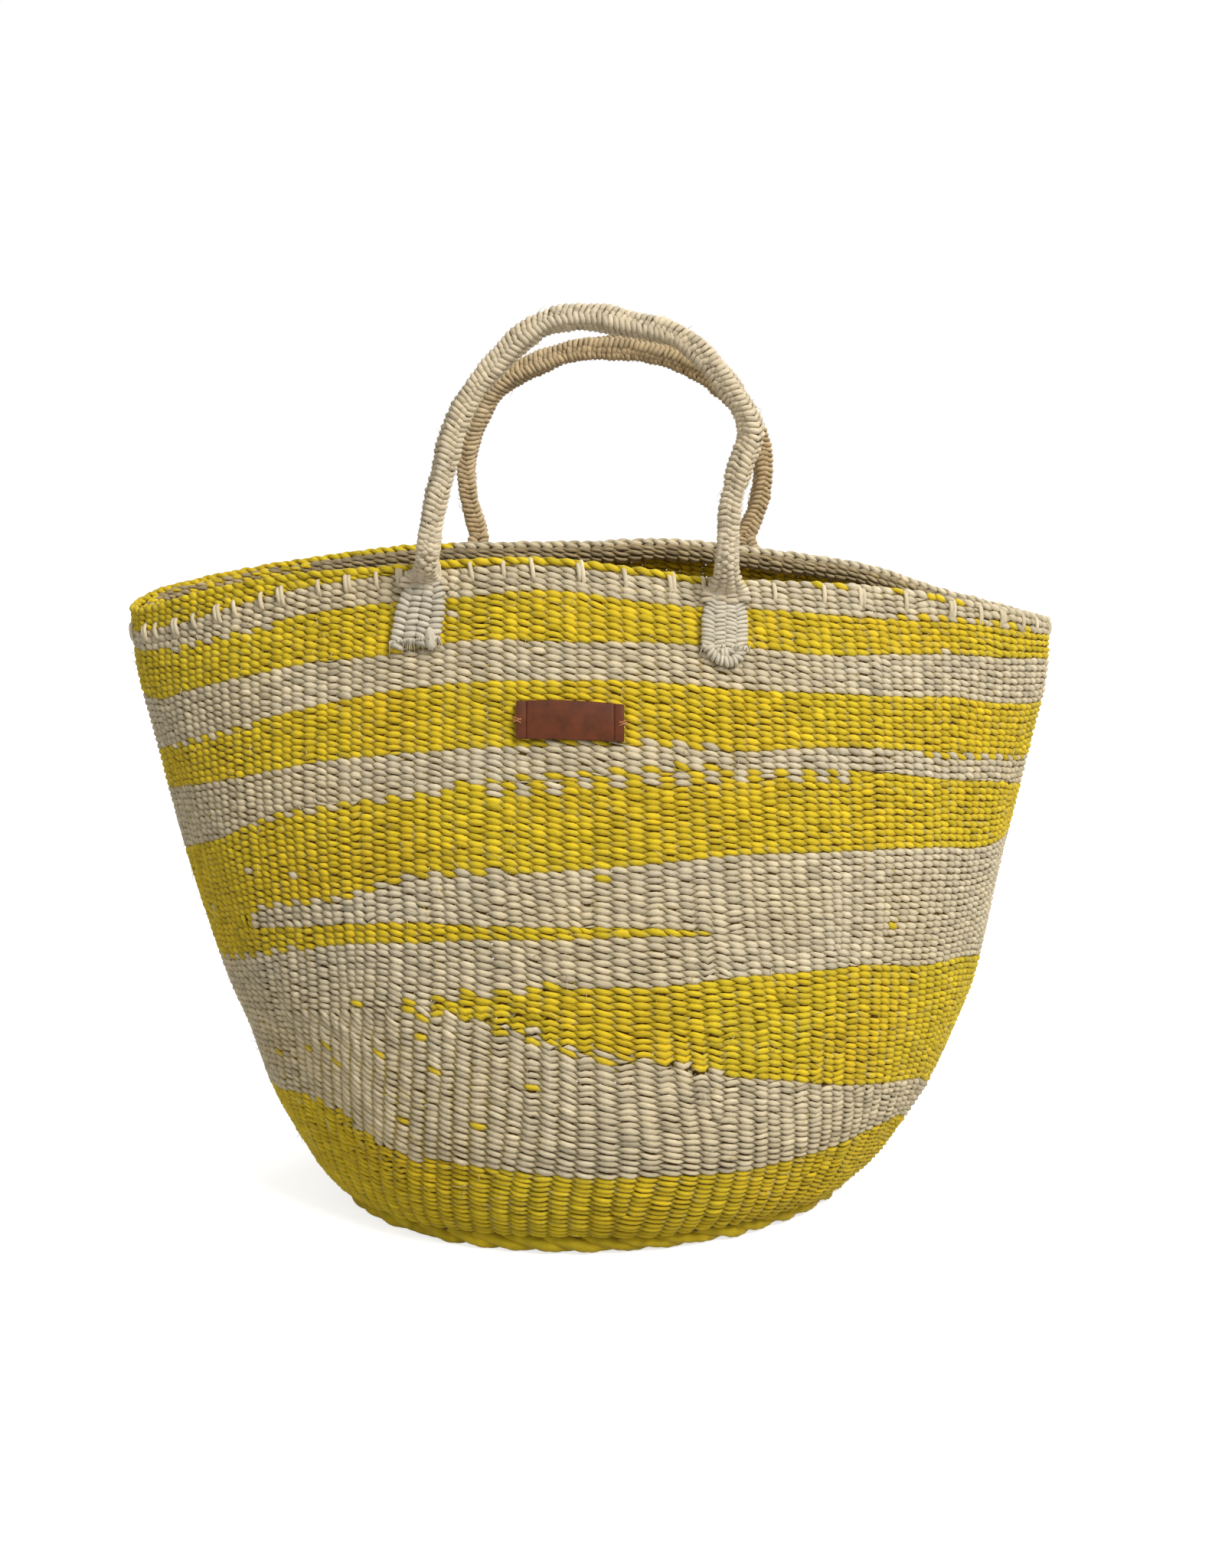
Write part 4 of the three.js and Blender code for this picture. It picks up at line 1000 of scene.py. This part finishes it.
print("stage: rim")
rollWeave = {**weave, "outPerColumn": 0.17, "weftThick": 1.2, "weftHalf": 0.5, "toneSpread": 0.16}
rollParts = rollRows()
fillers = [part for row in rim["fillerRows"] for part in ropeRing(
    lambda turn, at=row: wallAt(turn, at, 0)[:2], rim["filler"])]
yarnPiece("rimRoll", rollParts[0] + ropeRing(rollPath, rim["core"]) + fillers, rollYarn, ("rim_roll",))
yarnPiece("rimRollYellow", rollParts[1], yellowYarn, ("rim_roll",))
yarnPiece("rimOvercast", overcastStitches() + strayFibres((0.9, 0.99), 160), naturalYarn)
yarnPiece("strayFibresNatural", strayFibres((0.1, 0.95), 420), naturalYarn)
yarnPiece("strayFibresYellow", strayFibres((0.05, 0.7), 200), yellowYarn)


# handles

handle = {
    # the four cords, the hollows between them and the filler in their middle; the cords lie so high over the wall
    # in the tab and above it
    "cordOffset": 1.95, "cordRadius": 3.7, "hollowOffset": 1.15, "hollowRadius": 3.3, "fillerRadius": 3.4,
    "heights": (3.4, 4.6), "ribSpacing": 5.8, "tabLength": 42, "pitch": 2.7, "thread": 1.25,
    "bendZone": 11,              # how far the bend of a hinge reaches along the cords
    # slow twist of the rope to and fro: its angle, its waves, and the length over which it sets in
    "twist": 0.6, "twistWaves": 9, "twistEasing": 40,
    "cordSpread": 1.45, "hollowSpread": 0.75, "toneSpread": 0.09,
    "frays": {"fringe": 44, "curl": 8},               # threads that stand out of a foot
    "curls": ((8.1, 5.4, -0.35), (3, 1.6, 0)),        # reach, drop and last angle of the cords that turn back
    "curlRadius": 1.9,
    "neckFrom": (0.34, 0.16),    # shares of a tab's length from which stitches close its neck
    "neckColumn": 2.25,          # width of a column of them once the rope is round
    "front": {
        "side": -1, "shift": -5.8, "span": 141, "rise": 111, "swell": 0.06, "twistPhase": 0.6, "yarn": frontThread,
        "tabYarn": tabThread,
        "path": ((-1, 0), (-0.98, 0.1), (-0.94, 0.24), (-0.88, 0.38), (-0.81, 0.545), (-0.68, 0.7), (-0.47, 0.85),
                 (-0.33, 0.93), (-0.165, 0.985), (0, 1), (0.17, 0.995), (0.33, 0.973), (0.5, 0.954), (0.64, 0.928),
                 (0.77, 0.873), (0.9, 0.79), (1.02, 0.695), (1.125, 0.585), (1.145, 0.51), (1.107, 0.44),
                 (1.065, 0.355), (1.03, 0.27), (1.012, 0.195), (1.005, 0.1), (1, 0)),
        "Left": {"foot": "fringe", "skew": -0.16, "length": 0.94, "pitch": 3, "thread": 1.2, "rise": 2.5, "wide": 1},
        "Right": {"foot": "curl", "skew": -0.04, "length": 0.86, "pitch": 2.1, "thread": 0.92, "rise": 1.6,
                  "wide": 0.9},
    },
    "back": {
        "side": 1, "shift": 12.5, "span": 148, "rise": 103, "swell": 0.26, "twistPhase": 2.4, "yarn": backThread,
        "tabYarn": backThread,
        "path": ((-1, 0), (-1.03, 0.09), (-1.07, 0.2), (-1.09, 0.36), (-1.083, 0.44), (-1.06, 0.53), (-1, 0.63),
                 (-0.905, 0.75), (-0.78, 0.837), (-0.66, 0.883), (-0.53, 0.924), (-0.38, 0.965), (-0.265, 0.987),
                 (-0.11, 0.997), (0.04, 1), (0.19, 0.992), (0.32, 0.974), (0.455, 0.946), (0.585, 0.909),
                 (0.71, 0.857), (0.855, 0.765), (0.97, 0.68), (1.055, 0.592), (1.1, 0.495), (1.12, 0.4),
                 (1.125, 0.304), (1.11, 0.223), (1.076, 0.128), (1.03, 0.05), (1, 0)),
        "Left": {"foot": "fringe", "skew": -0.1, "length": 1, "pitch": 2.7, "thread": 1.2, "rise": 2.1, "wide": 1},
        "Right": {"foot": "curl", "skew": 0.1, "length": 0.88, "pitch": 2.5, "thread": 1.1, "rise": 1.7,
                  "wide": 0.95},
    },
}


def smoothPath(points, perSpan=24):
    # a centripetal curve through points, as the frame's handles have
    p = np.asarray(points, float)
    p = np.vstack([2 * p[0] - p[1], p, 2 * p[-1] - p[-2]])
    out = []
    for i in range(1, len(p) - 2):
        x0, x1, x2, x3 = p[i - 1:i + 3]
        d0, d1, d2 = [max(np.linalg.norm(b - a) ** 0.5, 1e-4) for a, b in ((x0, x1), (x1, x2), (x2, x3))]
        t1 = ((x1 - x0) / d0 - (x2 - x0) / (d0 + d1) + (x2 - x1) / d1) * d1
        t2 = ((x2 - x1) / d1 - (x3 - x1) / (d1 + d2) + (x3 - x2) / d2) * d1
        u = np.linspace(0, 1, perSpan, endpoint=False)[:, None]
        out.append(x1 + t1 * u + (-3 * x1 + 3 * x2 - 2 * t1 - t2) * u ** 2 + (2 * x1 - 2 * x2 + t1 + t2) * u ** 3)
    out.append(p[-2:-1])
    return np.vstack(out)


def evenly(points, step):
    # the same curve at equal steps, and the distance of each point
    reach = reachAlong(points)
    count = max(int(round(reach[-1] / step)), 2)
    at = np.linspace(0, reach[-1], count + 1)
    return np.stack([np.interp(at, reach, points[:, k]) for k in range(3)], -1), at


def wrapArcs(centre, out, along, rise, wide, spread, thread, slant, tone, segments=6):
    # short stitches over a cord: each arc runs across it on its outer side
    count = len(centre)
    across = np.cross(along, out)
    phi = np.linspace(-spread, spread, segments + 1)
    c, s = np.cos(phi)[None, :, None], np.sin(phi)[None, :, None]
    radial = out[:, None] * c + across[:, None] * s
    path = centre[:, None] + out[:, None] * c * rise[:, None, None] + across[:, None] * s * wide[:, None, None]
    path = path + along[:, None] * (slant[:, None] * phi)[..., None]
    full = 1 - 0.3 * (np.abs(phi) / spread) ** 3
    size = thread * full[None, :] * (1 + 0.1 * rng.normal(0, 1, (count, 1)))
    # each arc is painted darker towards its ends, shade where it goes down between the cords
    darker = tone[:, None] * (1 - 0.16 * (np.abs(phi) / spread)[None, :] ** 3)
    return cord(path, radial, size * 0.88, size * 1.1, 5, darker)


def handleFrames(spec, hinge):
    # centre line of the rope from hinge to hinge with its directions
    points = [(hinge[0] + h * spec["span"] / 2, hinge[1], hinge[2] + v * spec["rise"]) for h, v in spec["path"]]
    line, at = evenly(smoothPath(points), handle["pitch"] / 2)
    along = unit(np.gradient(line, axis=0))
    out = np.broadcast_to(np.array([0.0, spec["side"], 0.0]), along.shape)
    across = unit(np.cross(along, out))
    return line, along, out, across, at


def tabPoint(spec, aside, below, offWall):
    # a point over the wall, by its distance from the middle of the mouth and its distance below the rim
    row = 1 - below / wallAt(turnAt(aside, 1, spec["side"]), 1)[3]
    point, up, normal, run = wallAt(turnAt(aside, row, spec["side"]), row)
    return point + normal * np.asarray(offWall)[..., None], up, normal


def tabCords(spec, hinge, hand, tab):
    # centre line of each of the four cords, from the foot of the tab to its place in the rope
    side, aside = spec["side"], spec["shift"] + hand * spec["span"] / 2
    length = handle["tabLength"] * tab["length"]
    cords = []
    for k in range(4):
        place = k - 1.5
        points, outs = [], []
        for up in (0, 0.2, 0.4, 0.6, 0.8):
            narrow = 1 if up < 0.5 else 1 - 0.5 * (up - 0.5) / 0.3
            fanned = aside + place * handle["ribSpacing"] * tab["wide"] * narrow + tab["skew"] * length * (1 - up)
            point, upward, normal = tabPoint(spec, fanned, length * (1 - up), handle["heights"][up > 0.7])
            points.append(point)
            outs.append(normal)
        outer = k in (1, 2)
        x = mouthMiddle + aside + (-1 if k < 2 else 1) * handle["cordOffset"]
        y = hinge[1] + side * (handle["cordOffset"] if outer else -handle["cordOffset"])
        points.append(np.array([x, y, hinge[2]]))
        outs.append(unit(np.array([-1 if k < 2 else 1, side * (1 if outer else -1), 0.0])))
        cords.append((np.array(points), np.array(outs)))
    return cords


def ropeParts(spec, hinge, ends):
    # the four wrapped cords between the hinges, in a slow twist, with their lumps
    line, along, out, across, at = handleFrames(spec, hinge)
    radius = handle["cordRadius"] - handle["thread"] * 0.88
    length = at[-1]
    easing = np.clip(np.minimum(at, length - at) / handle["twistEasing"], 0, 1)
    twist = handle["twist"] * np.sin(at / length * handle["twistWaves"] + spec["twistPhase"]) * easing
    lumps = 1 + 0.09 * np.sin(at * 0.21) * np.sin(at * 0.083 + 1) + spec["swell"] * (np.sin(at / length * np.pi) - 0.5)
    radius = radius * lumps
    lumps = lumps + 0.04 * rng.normal(0, 1, len(at))
    zone = handle["bendZone"]
    spans = {"Middle": (at > zone) & (at < length - zone), "Left": at <= zone, "Right": at >= length - zone}
    coreSpans = {**spans, "Middle": (at > zone - 3) & (at < length - zone + 3)}
    for k, (o, a) in enumerate(((1, -1), (1, 1), (-1, 1), (-1, -1))):
        spin = twist + math.atan2(a, o)
        direction = out * np.cos(spin)[:, None] + across * np.sin(spin)[:, None]
        centre = line + direction * (handle["cordOffset"] * math.sqrt(2) * lumps)[:, None]
        picks = np.arange(k % 2, len(at), 2)
        tone = varied(1, handle["toneSpread"], len(at))
        for key, span in spans.items():
            take = picks[span[picks]]
            if len(take) > 0:
                slant = varied(0.75 if k % 2 else -0.75, 0.25, len(take))
                ends["wrap" + key].append(wrapArcs(centre[take], direction[take], along[take], radius[take],
                                                   radius[take], handle["cordSpread"], handle["thread"], slant,
                                                   tone[take]))
        # the cores are drawn at 0.55 of their yarn's brightness, painted shade inside the rope
        for key, span in coreSpans.items():
            ends["core" + key].append(oneCord(centre[span], direction[span], radius[span], radius[span], 6, 0.55))
    # the filler in the middle of the four cords, drawn at 0.6 of its yarn's brightness as painted shade
    for key, span in coreSpans.items():
        filler = oneCord(line[span], out[span], handle["fillerRadius"], handle["fillerRadius"], 6, 0.6)
        ends["core" + key].append(filler)
    # stitches over the four hollows between the cords
    for k in range(4):
        spin = twist + k * math.pi / 2
        direction = out * np.cos(spin)[:, None] + across * np.sin(spin)[:, None]
        centre = line + direction * (handle["hollowOffset"] * lumps)[:, None]
        for key, span in spans.items():
            take = np.arange((k + 1) % 2, len(at), 2)
            take = take[span[take]]
            size = handle["hollowRadius"] * lumps[take]
            slant = varied(1.1 if k % 2 else -1.1, 0.3, len(take))
            tone = varied(1, handle["toneSpread"], len(take))
            ends["wrap" + key].append(wrapArcs(centre[take], direction[take], along[take], size, size,
                                               handle["hollowSpread"], handle["thread"], slant, tone, 4))
    ends["wrapMiddle"] += looseFibres(line, along, out, across, 110)


def looseFibres(line, along, out, across, count):
    # single fibres that have worked loose from the wrapping
    parts = []
    for pick in rng.integers(8, len(line) - 8, count):
        spin = rng.uniform(-1.4, 1.4)
        radial = out[pick] * math.cos(spin) + across[pick] * math.sin(spin)
        s = np.linspace(0, 1, 5)[:, None]
        length = rng.uniform(3, 8)
        sweep = along[pick] * rng.uniform(-1, 1) + across[pick] * rng.uniform(-0.4, 0.4)
        path = line[pick] + radial * (5.4 + 2.2 * s * (1.3 - s)) + sweep * length * s
        size = 0.13 * (1.3 - s[:, 0])
        parts.append(oneCord(path, radial, size, size, 3, 1.1))
    return parts


def buildHandle(name):
    spec = handle[name]
    bodyName = "handle_" + name
    joint = [j for j in frame["joints"] if j["child"] == bodyName][0]
    hinge = np.array(joint["pos_m"]) / mm
    ends = {kind + key: [] for kind in ("wrap", "core") for key in ("Middle", "Left", "Right")}
    ropeParts(spec, hinge, ends)
    zone = handle["bendZone"]
    for hand, place in ((-1, "Left"), (1, "Right")):
        tab = spec[place]
        tabParts = []
        radius = handle["cordRadius"] - tab["thread"] * 0.88
        for k, (points, outs) in enumerate(tabCords(spec, hinge, hand, tab)):
            path, reach = evenly(smoothPath(points), tab["pitch"] / 2)
            knots = reachAlong(points)
            knots = knots / knots[-1] * reach[-1]
            direction = unit(np.stack([np.interp(reach, knots, outs[:, c]) for c in range(3)], -1))
            alongRib = unit(np.gradient(path, axis=0))
            direction = unit(direction - alongRib * np.sum(direction * alongRib, axis=-1, keepdims=True))
            below = path[:, 2] < hinge[2] - zone
            # round in the neck, flat and wide on the wall
            flat = smoothStep((hinge[2] - zone + 6 - path[:, 2]) / 16)
            rise = radius + (tab["rise"] - radius) * flat
            wide = radius + (handle["ribSpacing"] / 2 + 0.15 - radius) * flat
            tone = varied(1.03, handle["toneSpread"], len(reach))
            picks = np.arange(k % 2, len(reach), 2)
            for wraps, cores, chosen in ((tabParts, tabParts, below),
                                         (ends["wrap" + place], ends["core" + place], ~below)):
                take = picks[chosen[picks]]
                slant = varied(0.5 if k % 2 else -0.5, 0.25, len(take))
                # half of the angle that a thread goes round, and its steps
                spread, segments = (1.6, 6) if wraps is tabParts else (2.7, 9)
                wraps.append(wrapArcs(path[take], direction[take], alongRib[take], rise[take], wide[take], spread,
                                      tab["thread"], slant, tone[take], segments))
                # the core under the wrapping is drawn at 0.6 of its yarn's brightness, painted shade
                cores.append(oneCord(path[chosen], direction[chosen], rise[chosen], wide[chosen] - 0.3, 6, 0.6))
        tabParts += tabFoot(spec, hand, tab)
        ends["wrap" + place] += neckStitches(spec, hinge, hand, tab)
        yarnPiece(f"tab{name.capitalize()}{place}", tabParts, spec["tabYarn"], (f"tab_{name}_{place.lower()}",))
        neck = yarnPiece(f"neck{name.capitalize()}{place}", ends["wrap" + place] + ends["core" + place], spec["yarn"],
                         body=None)
        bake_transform(neck)
    for kind, yarn in (("wrap", spec["yarn"]), ("core", coreYarn)):
        yarnPiece(f"handle{name.capitalize()}{kind.capitalize()}", ends[kind + "Middle"], yarn,
                  (f"handle_{name}_{kind}",), bodyName)


def neckStitches(spec, hinge, hand, tab):
    # stitches that close the outer side where the four cords gather into the rope
    side, aside = spec["side"], spec["shift"] + hand * spec["span"] / 2
    length = handle["tabLength"] * tab["length"]
    rope = handleFrames(spec, hinge)[0]
    rope = rope if hand < 0 else rope[::-1]
    below = np.array(handle["neckFrom"]) * length
    onWall = tabPoint(spec, aside + tab["skew"] * below, below, 3.7 + 0.09 * (below[0] - below))[0]
    inRope = ((mouthMiddle + aside, hinge[1] + side * 0.6, hinge[2]), rope[5] + (0, side * 0.4, 0),
              rope[9] + (0, side * 0.2, 0))
    path, at = evenly(smoothPath([*onWall, *inRope]), handle["pitch"] / 2)
    along = unit(np.gradient(path, axis=0))
    out = unit(np.array([0.0, side, 0.0]) - along * (along[:, 1:2] * side))
    across = np.cross(along, out)
    share = smoothStep((path[:, 2] - path[0, 2]) / (hinge[2] - 1 - path[0, 2]))
    parts = []
    for k in range(4):
        column = handle["ribSpacing"] * (1 - share) + handle["neckColumn"] * share
        centre = path + across * ((k - 1.5) * column)[:, None]
        # the outer columns lie lower than the middle ones once the rope is round
        centre = centre + out * ((2.6 - (1.5 if k in (0, 3) else 0)) * share + 5 * share * (1 - share))[:, None]
        take = np.arange(k % 2, len(at), 2)
        parts.append(wrapArcs(centre[take], out[take], along[take], np.full(len(take), 2.3), column[take] / 2 + 0.35,
                              1.5, handle["thread"], varied(0, 0.3, len(take)), varied(1.03, 0.08, len(take))))
    return parts


def tabFoot(spec, hand, tab):
    # the foot of a tab: frayed threads and one cut cord end, or cords that turn round and back
    parts = []
    length = handle["tabLength"] * tab["length"]
    foot = spec["shift"] + hand * spec["span"] / 2 + tab["skew"] * length
    if tab["foot"] == "curl":
        for reach, drop, last in handle["curls"]:
            angle = np.linspace(np.pi, last, 33)
            spots, up, normals = tabPoint(spec, foot + reach * tab["wide"] * np.cos(angle),
                                          length + drop * np.sin(angle) * (1 + 0.25 * np.cos(angle)), 3.8)
            path, at = evenly(smoothPath(spots, 4), tab["pitch"] / 2)
            outs = np.broadcast_to(normals[16], path.shape)
            along = unit(np.gradient(path, axis=0))
            take = np.arange(0, len(at), 2)
            radius = handle["curlRadius"]
            size = np.full(len(take), radius)
            parts.append(wrapArcs(path[take], outs[take], along[take], size, size * 1.25, 1.8, tab["thread"],
                                  varied(0.6, 0.45, len(take)), varied(1.03, 0.08, len(take))))
            # the cord under the curl's wrapping is drawn at 0.7 of its yarn's brightness, painted shade
            parts.append(oneCord(path, outs, radius, radius, 6, 0.7))
    else:
        s = np.linspace(0, 1, 7)
        path, up, outs = tabPoint(spec, foot + 7.6 + 0.6 * s, length - 7 + 11 * s, 5.6 - 1.2 * s * s)
        rounded = np.sqrt(np.clip(1 - (np.abs(2 * s - 1)) ** 4, 0.08, 1))
        parts.append(oneCord(path, outs, 2.3 * rounded, 2.7 * rounded, 8, 1.0))
    for _ in range(handle["frays"][tab["foot"]]):
        across = foot + rng.uniform(-2.1, 2.1) * handle["ribSpacing"]
        reach = rng.uniform(2.5, 6)
        drift = rng.uniform(-2.2, 2.2)
        s = np.linspace(0, 1, 5)
        rise = rng.uniform(2.5, 5.5)
        path, up, outs = tabPoint(spec, across + drift * s, length - 1.5 + reach * s, 3 + rise * (1 - s) ** 1.5)
        size = 0.42 * (1.25 - s)
        parts.append(oneCord(path, outs, size, size, 4, 1.05))
    return parts


print("stage: handles")
for name in ("front", "back"):
    buildHandle(name)


# leather label

label = {
    "width": 50, "height": 17.5, "thickness": 1.8, "shift": -9, "row": 0.779, "bow": 0.8, "stand": 0.5,
    "rightDrop": 1.5, "crease": 4.6,
}


leather = {
    "pebblesPerM": 1600, "cloudsPerM": 160, "bump": 0.25, "bumpDepth": 0.15, "roughness": 0.5, "specular": 0.22,
}


def tannedLeather(name):
    # vegetable-tanned cowhide, dyed red-brown and polished: a close pebble grain, a soft gloss and cloudy colour
    material, tree = newMaterial(name)
    place = addNode(tree, "ShaderNodeTexCoord")
    grain = addNode(tree, "ShaderNodeTexVoronoi", {"feature": "F1"}, Vector=place.outputs["Object"],
                    Scale=leather["pebblesPerM"])
    cloud = addNode(tree, "ShaderNodeTexNoise", Vector=place.outputs["Object"], Scale=leather["cloudsPerM"],
                    Detail=4.0)
    colour = mixColours(tree, mapRange(tree, cloud.outputs["Fac"], 0.3, 0.7), "#4f2712", "#683419")
    bump = addNode(tree, "ShaderNodeBump", Strength=leather["bump"], Distance=leather["bumpDepth"] * mm,
                   Height=grain.outputs["Distance"])
    shader = addNode(tree, "ShaderNodeBsdfPrincipled", Base_Color=colour, Roughness=leather["roughness"],
                     Normal=bump.outputs[0], Specular_IOR_Level=leather["specular"])
    finishMaterial(tree, shader)
    return material


def waxedThread(name):
    # waxed linen sewing thread, tan with a slight shine
    material, tree = newMaterial(name)
    shader = addNode(tree, "ShaderNodeBsdfPrincipled", Base_Color=hexColour("#a8693a"), Roughness=0.45)
    finishMaterial(tree, shader)
    return material


def labelPlace(x, z, out):
    # a place on the label: x along it from its middle, z up it, out from the back of the leather
    share = x / label["width"] * 2
    rise = z + label["bow"] * (1 - share ** 2) * (z / label["height"] + 0.5)
    rise = rise - label["rightDrop"] * (share + 1) / 2
    rows = label["row"] + rise / weave["wallLength"]
    turns = turnAt(label["shift"] + x, rows, -1)
    point, up, normal, run = wallAt(turns, rows, 0)
    curl = 0.5 * share ** 8
    return point + normal * (body["thickness"] / 2 + label["stand"] + out + curl)[..., None], up, normal


def leatherLabel():
    bpy.ops.mesh.primitive_cube_add(size=1)
    plate = bpy.context.object
    plate.name = "leatherLabel"
    plate.data.name = "leatherLabel"
    plate.scale = (label["width"], label["thickness"], label["height"])
    bpy.ops.object.transform_apply(location=False, rotation=False, scale=True)
    bpy.ops.object.mode_set(mode="EDIT")
    bpy.ops.mesh.select_all(action="SELECT")
    bpy.ops.mesh.bevel(offset=0.35, segments=2, affect="EDGES")
    # cuts across the plate, so that it can bend with the wall and be creased near its ends
    inner = label["width"] / 2 - label["crease"]
    cuts = [label["width"] * (k / 26 - 0.5) for k in range(1, 26)]
    cuts += [side * (inner + d) for side in (-1, 1) for d in (-0.8, -0.4, 0, 0.4, 0.8)]
    for x in cuts:
        bpy.ops.mesh.select_all(action="SELECT")
        bpy.ops.mesh.bisect(plane_co=(x, 0, 0), plane_no=(1, 0, 0))
    bpy.ops.object.mode_set(mode="OBJECT")
    mesh = plate.data
    co = np.zeros(len(mesh.vertices) * 3)
    mesh.vertices.foreach_get("co", co)
    co = co.reshape(-1, 3)
    crease = 0.6 * np.exp(-((np.abs(co[:, 0]) - inner) / 0.45) ** 2) * (co[:, 1] < 0)
    point, up, normal = labelPlace(co[:, 0], co[:, 2], label["thickness"] / 2 - co[:, 1] - crease)
    mesh.vertices.foreach_set("co", (point * mm).astype(np.float32).reshape(-1))
    mesh.update()
    bpy.ops.object.mode_set(mode="EDIT")
    bpy.ops.mesh.select_all(action="SELECT")
    bpy.ops.mesh.normals_make_consistent(inside=False)
    bpy.ops.object.mode_set(mode="OBJECT")
    bpy.ops.object.shade_smooth_by_angle(angle=math.radians(50))
    mesh.materials.append(tannedLeather("tannedLeather"))
    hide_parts("leather_label")
    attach(plate, "basket")


def labelStitches():
    # a few crossed stitches over each end hold the label
    parts = []
    for side in (-1, 1):
        for z0, z1 in ((-1.6, 0.4), (0.6, -1.2), (-0.4, 1.5)):
            s = np.linspace(0, 1, 9)
            x = side * (label["width"] / 2 - 2.6 + 4.2 * s)
            z = z0 + (z1 - z0) * s
            out = label["thickness"] + 0.3 - 2.2 * np.clip(s - 0.5, 0, 1) ** 1.2 - 1.2 * np.clip(0.1 - s, 0, 1) * 10
            point, up, normal = labelPlace(x, z, out)
            parts.append(oneCord(point, normal, 0.32, 0.32, 5, 1))
    yarnPiece("labelStitches", parts, (waxedThread("waxedThread"), "brown_leather"))


print("stage: label")
leatherLabel()
labelStitches()


# floor, backdrop and lamps

studio = {
    "floor": 12, "nearFloor": 0.4, "farFloor": 2.0, "nearGlow": 0.72, "farGlow": 1.0,
    "sky": 0.4, "paper": 0.8, "floorBounce": 0.45,
    "lampAim": (0, 0, 0.2),
    # place in metres, size and power of each lamp
    "lamps": {
        "keyLamp": ((1.15, -1.35, 2.0), 1.0, 54), "fillLamp": ((-1.7, -1.6, 0.9), 1.6, 3.5),
        "backLamp": ((1.2, 1.6, 1.5), 1.4, 24),
    },
}


def addLamp(name, place, size, power):
    data = bpy.data.lights.new(name, "AREA")
    data.size = size
    data.energy = power
    lamp = bpy.data.objects.new(name, data)
    bpy.context.scene.collection.objects.link(lamp)
    lamp.location = place
    lamp.rotation_euler = (Vector(studio["lampAim"]) - Vector(place)).to_track_quat("-Z", "Y").to_euler()


def grey(value):
    return (value, value, value, 1)


def seenShare(tree):
    # 1 for what the camera sees, also by a reflection or through something, and 0 for what only lights
    path = addNode(tree, "ShaderNodeLightPath")
    seen = addNode(tree, "ShaderNodeMath", {"operation": "MAXIMUM"}, n0=path.outputs["Is Camera Ray"],
                   n1=path.outputs["Is Glossy Ray"])
    return addNode(tree, "ShaderNodeMath", {"operation": "MAXIMUM"}, n0=seen.outputs[0],
                   n1=path.outputs["Is Transmission Ray"]).outputs[0]


def addStudio():
    bpy.ops.object.select_all(action="DESELECT")
    bpy.ops.mesh.primitive_plane_add(size=studio["floor"], location=(0, 0, 0))
    floor = bpy.context.object
    floor.name = "floor"
    # matt white paper: what is seen of it goes to pure white away from the basket, and what lights the basket is dim
    material, tree = newMaterial("palePaper")
    seen = seenShare(tree)
    place = addNode(tree, "ShaderNodeTexCoord")
    distance = addNode(tree, "ShaderNodeVectorMath", {"operation": "LENGTH"}, n0=place.outputs["Object"])
    glow = mapRange(tree, distance.outputs["Value"], studio["nearFloor"], studio["farFloor"], studio["nearGlow"],
                    studio["farGlow"])
    paper = addNode(tree, "ShaderNodeBsdfDiffuse", Color=grey(studio["paper"]))
    bounce = addNode(tree, "ShaderNodeBsdfDiffuse", Color=grey(studio["floorBounce"]))
    white = addNode(tree, "ShaderNodeEmission", Color=grey(1), Strength=glow)
    both = addNode(tree, "ShaderNodeAddShader", n0=paper.outputs[0], n1=white.outputs[0])
    mix = addNode(tree, "ShaderNodeMixShader", n0=seen, n1=bounce.outputs[0], n2=both.outputs[0])
    finishMaterial(tree, mix)
    floor.data.materials.append(material)
    world = bpy.data.worlds.new("studioAir")
    bpy.context.scene.world = world
    world.use_nodes = True
    tree = world.node_tree
    tree.nodes.clear()
    seen = seenShare(tree)
    dim = addNode(tree, "ShaderNodeBackground", Color=grey(1), Strength=studio["sky"])
    bright = addNode(tree, "ShaderNodeBackground", Color=grey(1), Strength=1.0)
    mix = addNode(tree, "ShaderNodeMixShader", n0=seen, n1=dim.outputs[0], n2=bright.outputs[0])
    output = addNode(tree, "ShaderNodeOutputWorld")
    tree.links.new(mix.outputs[0], output.inputs["Surface"])
    for name, (place, size, power) in studio["lamps"].items():
        addLamp(name, place, size, power)


print("stage: studio")
addStudio()
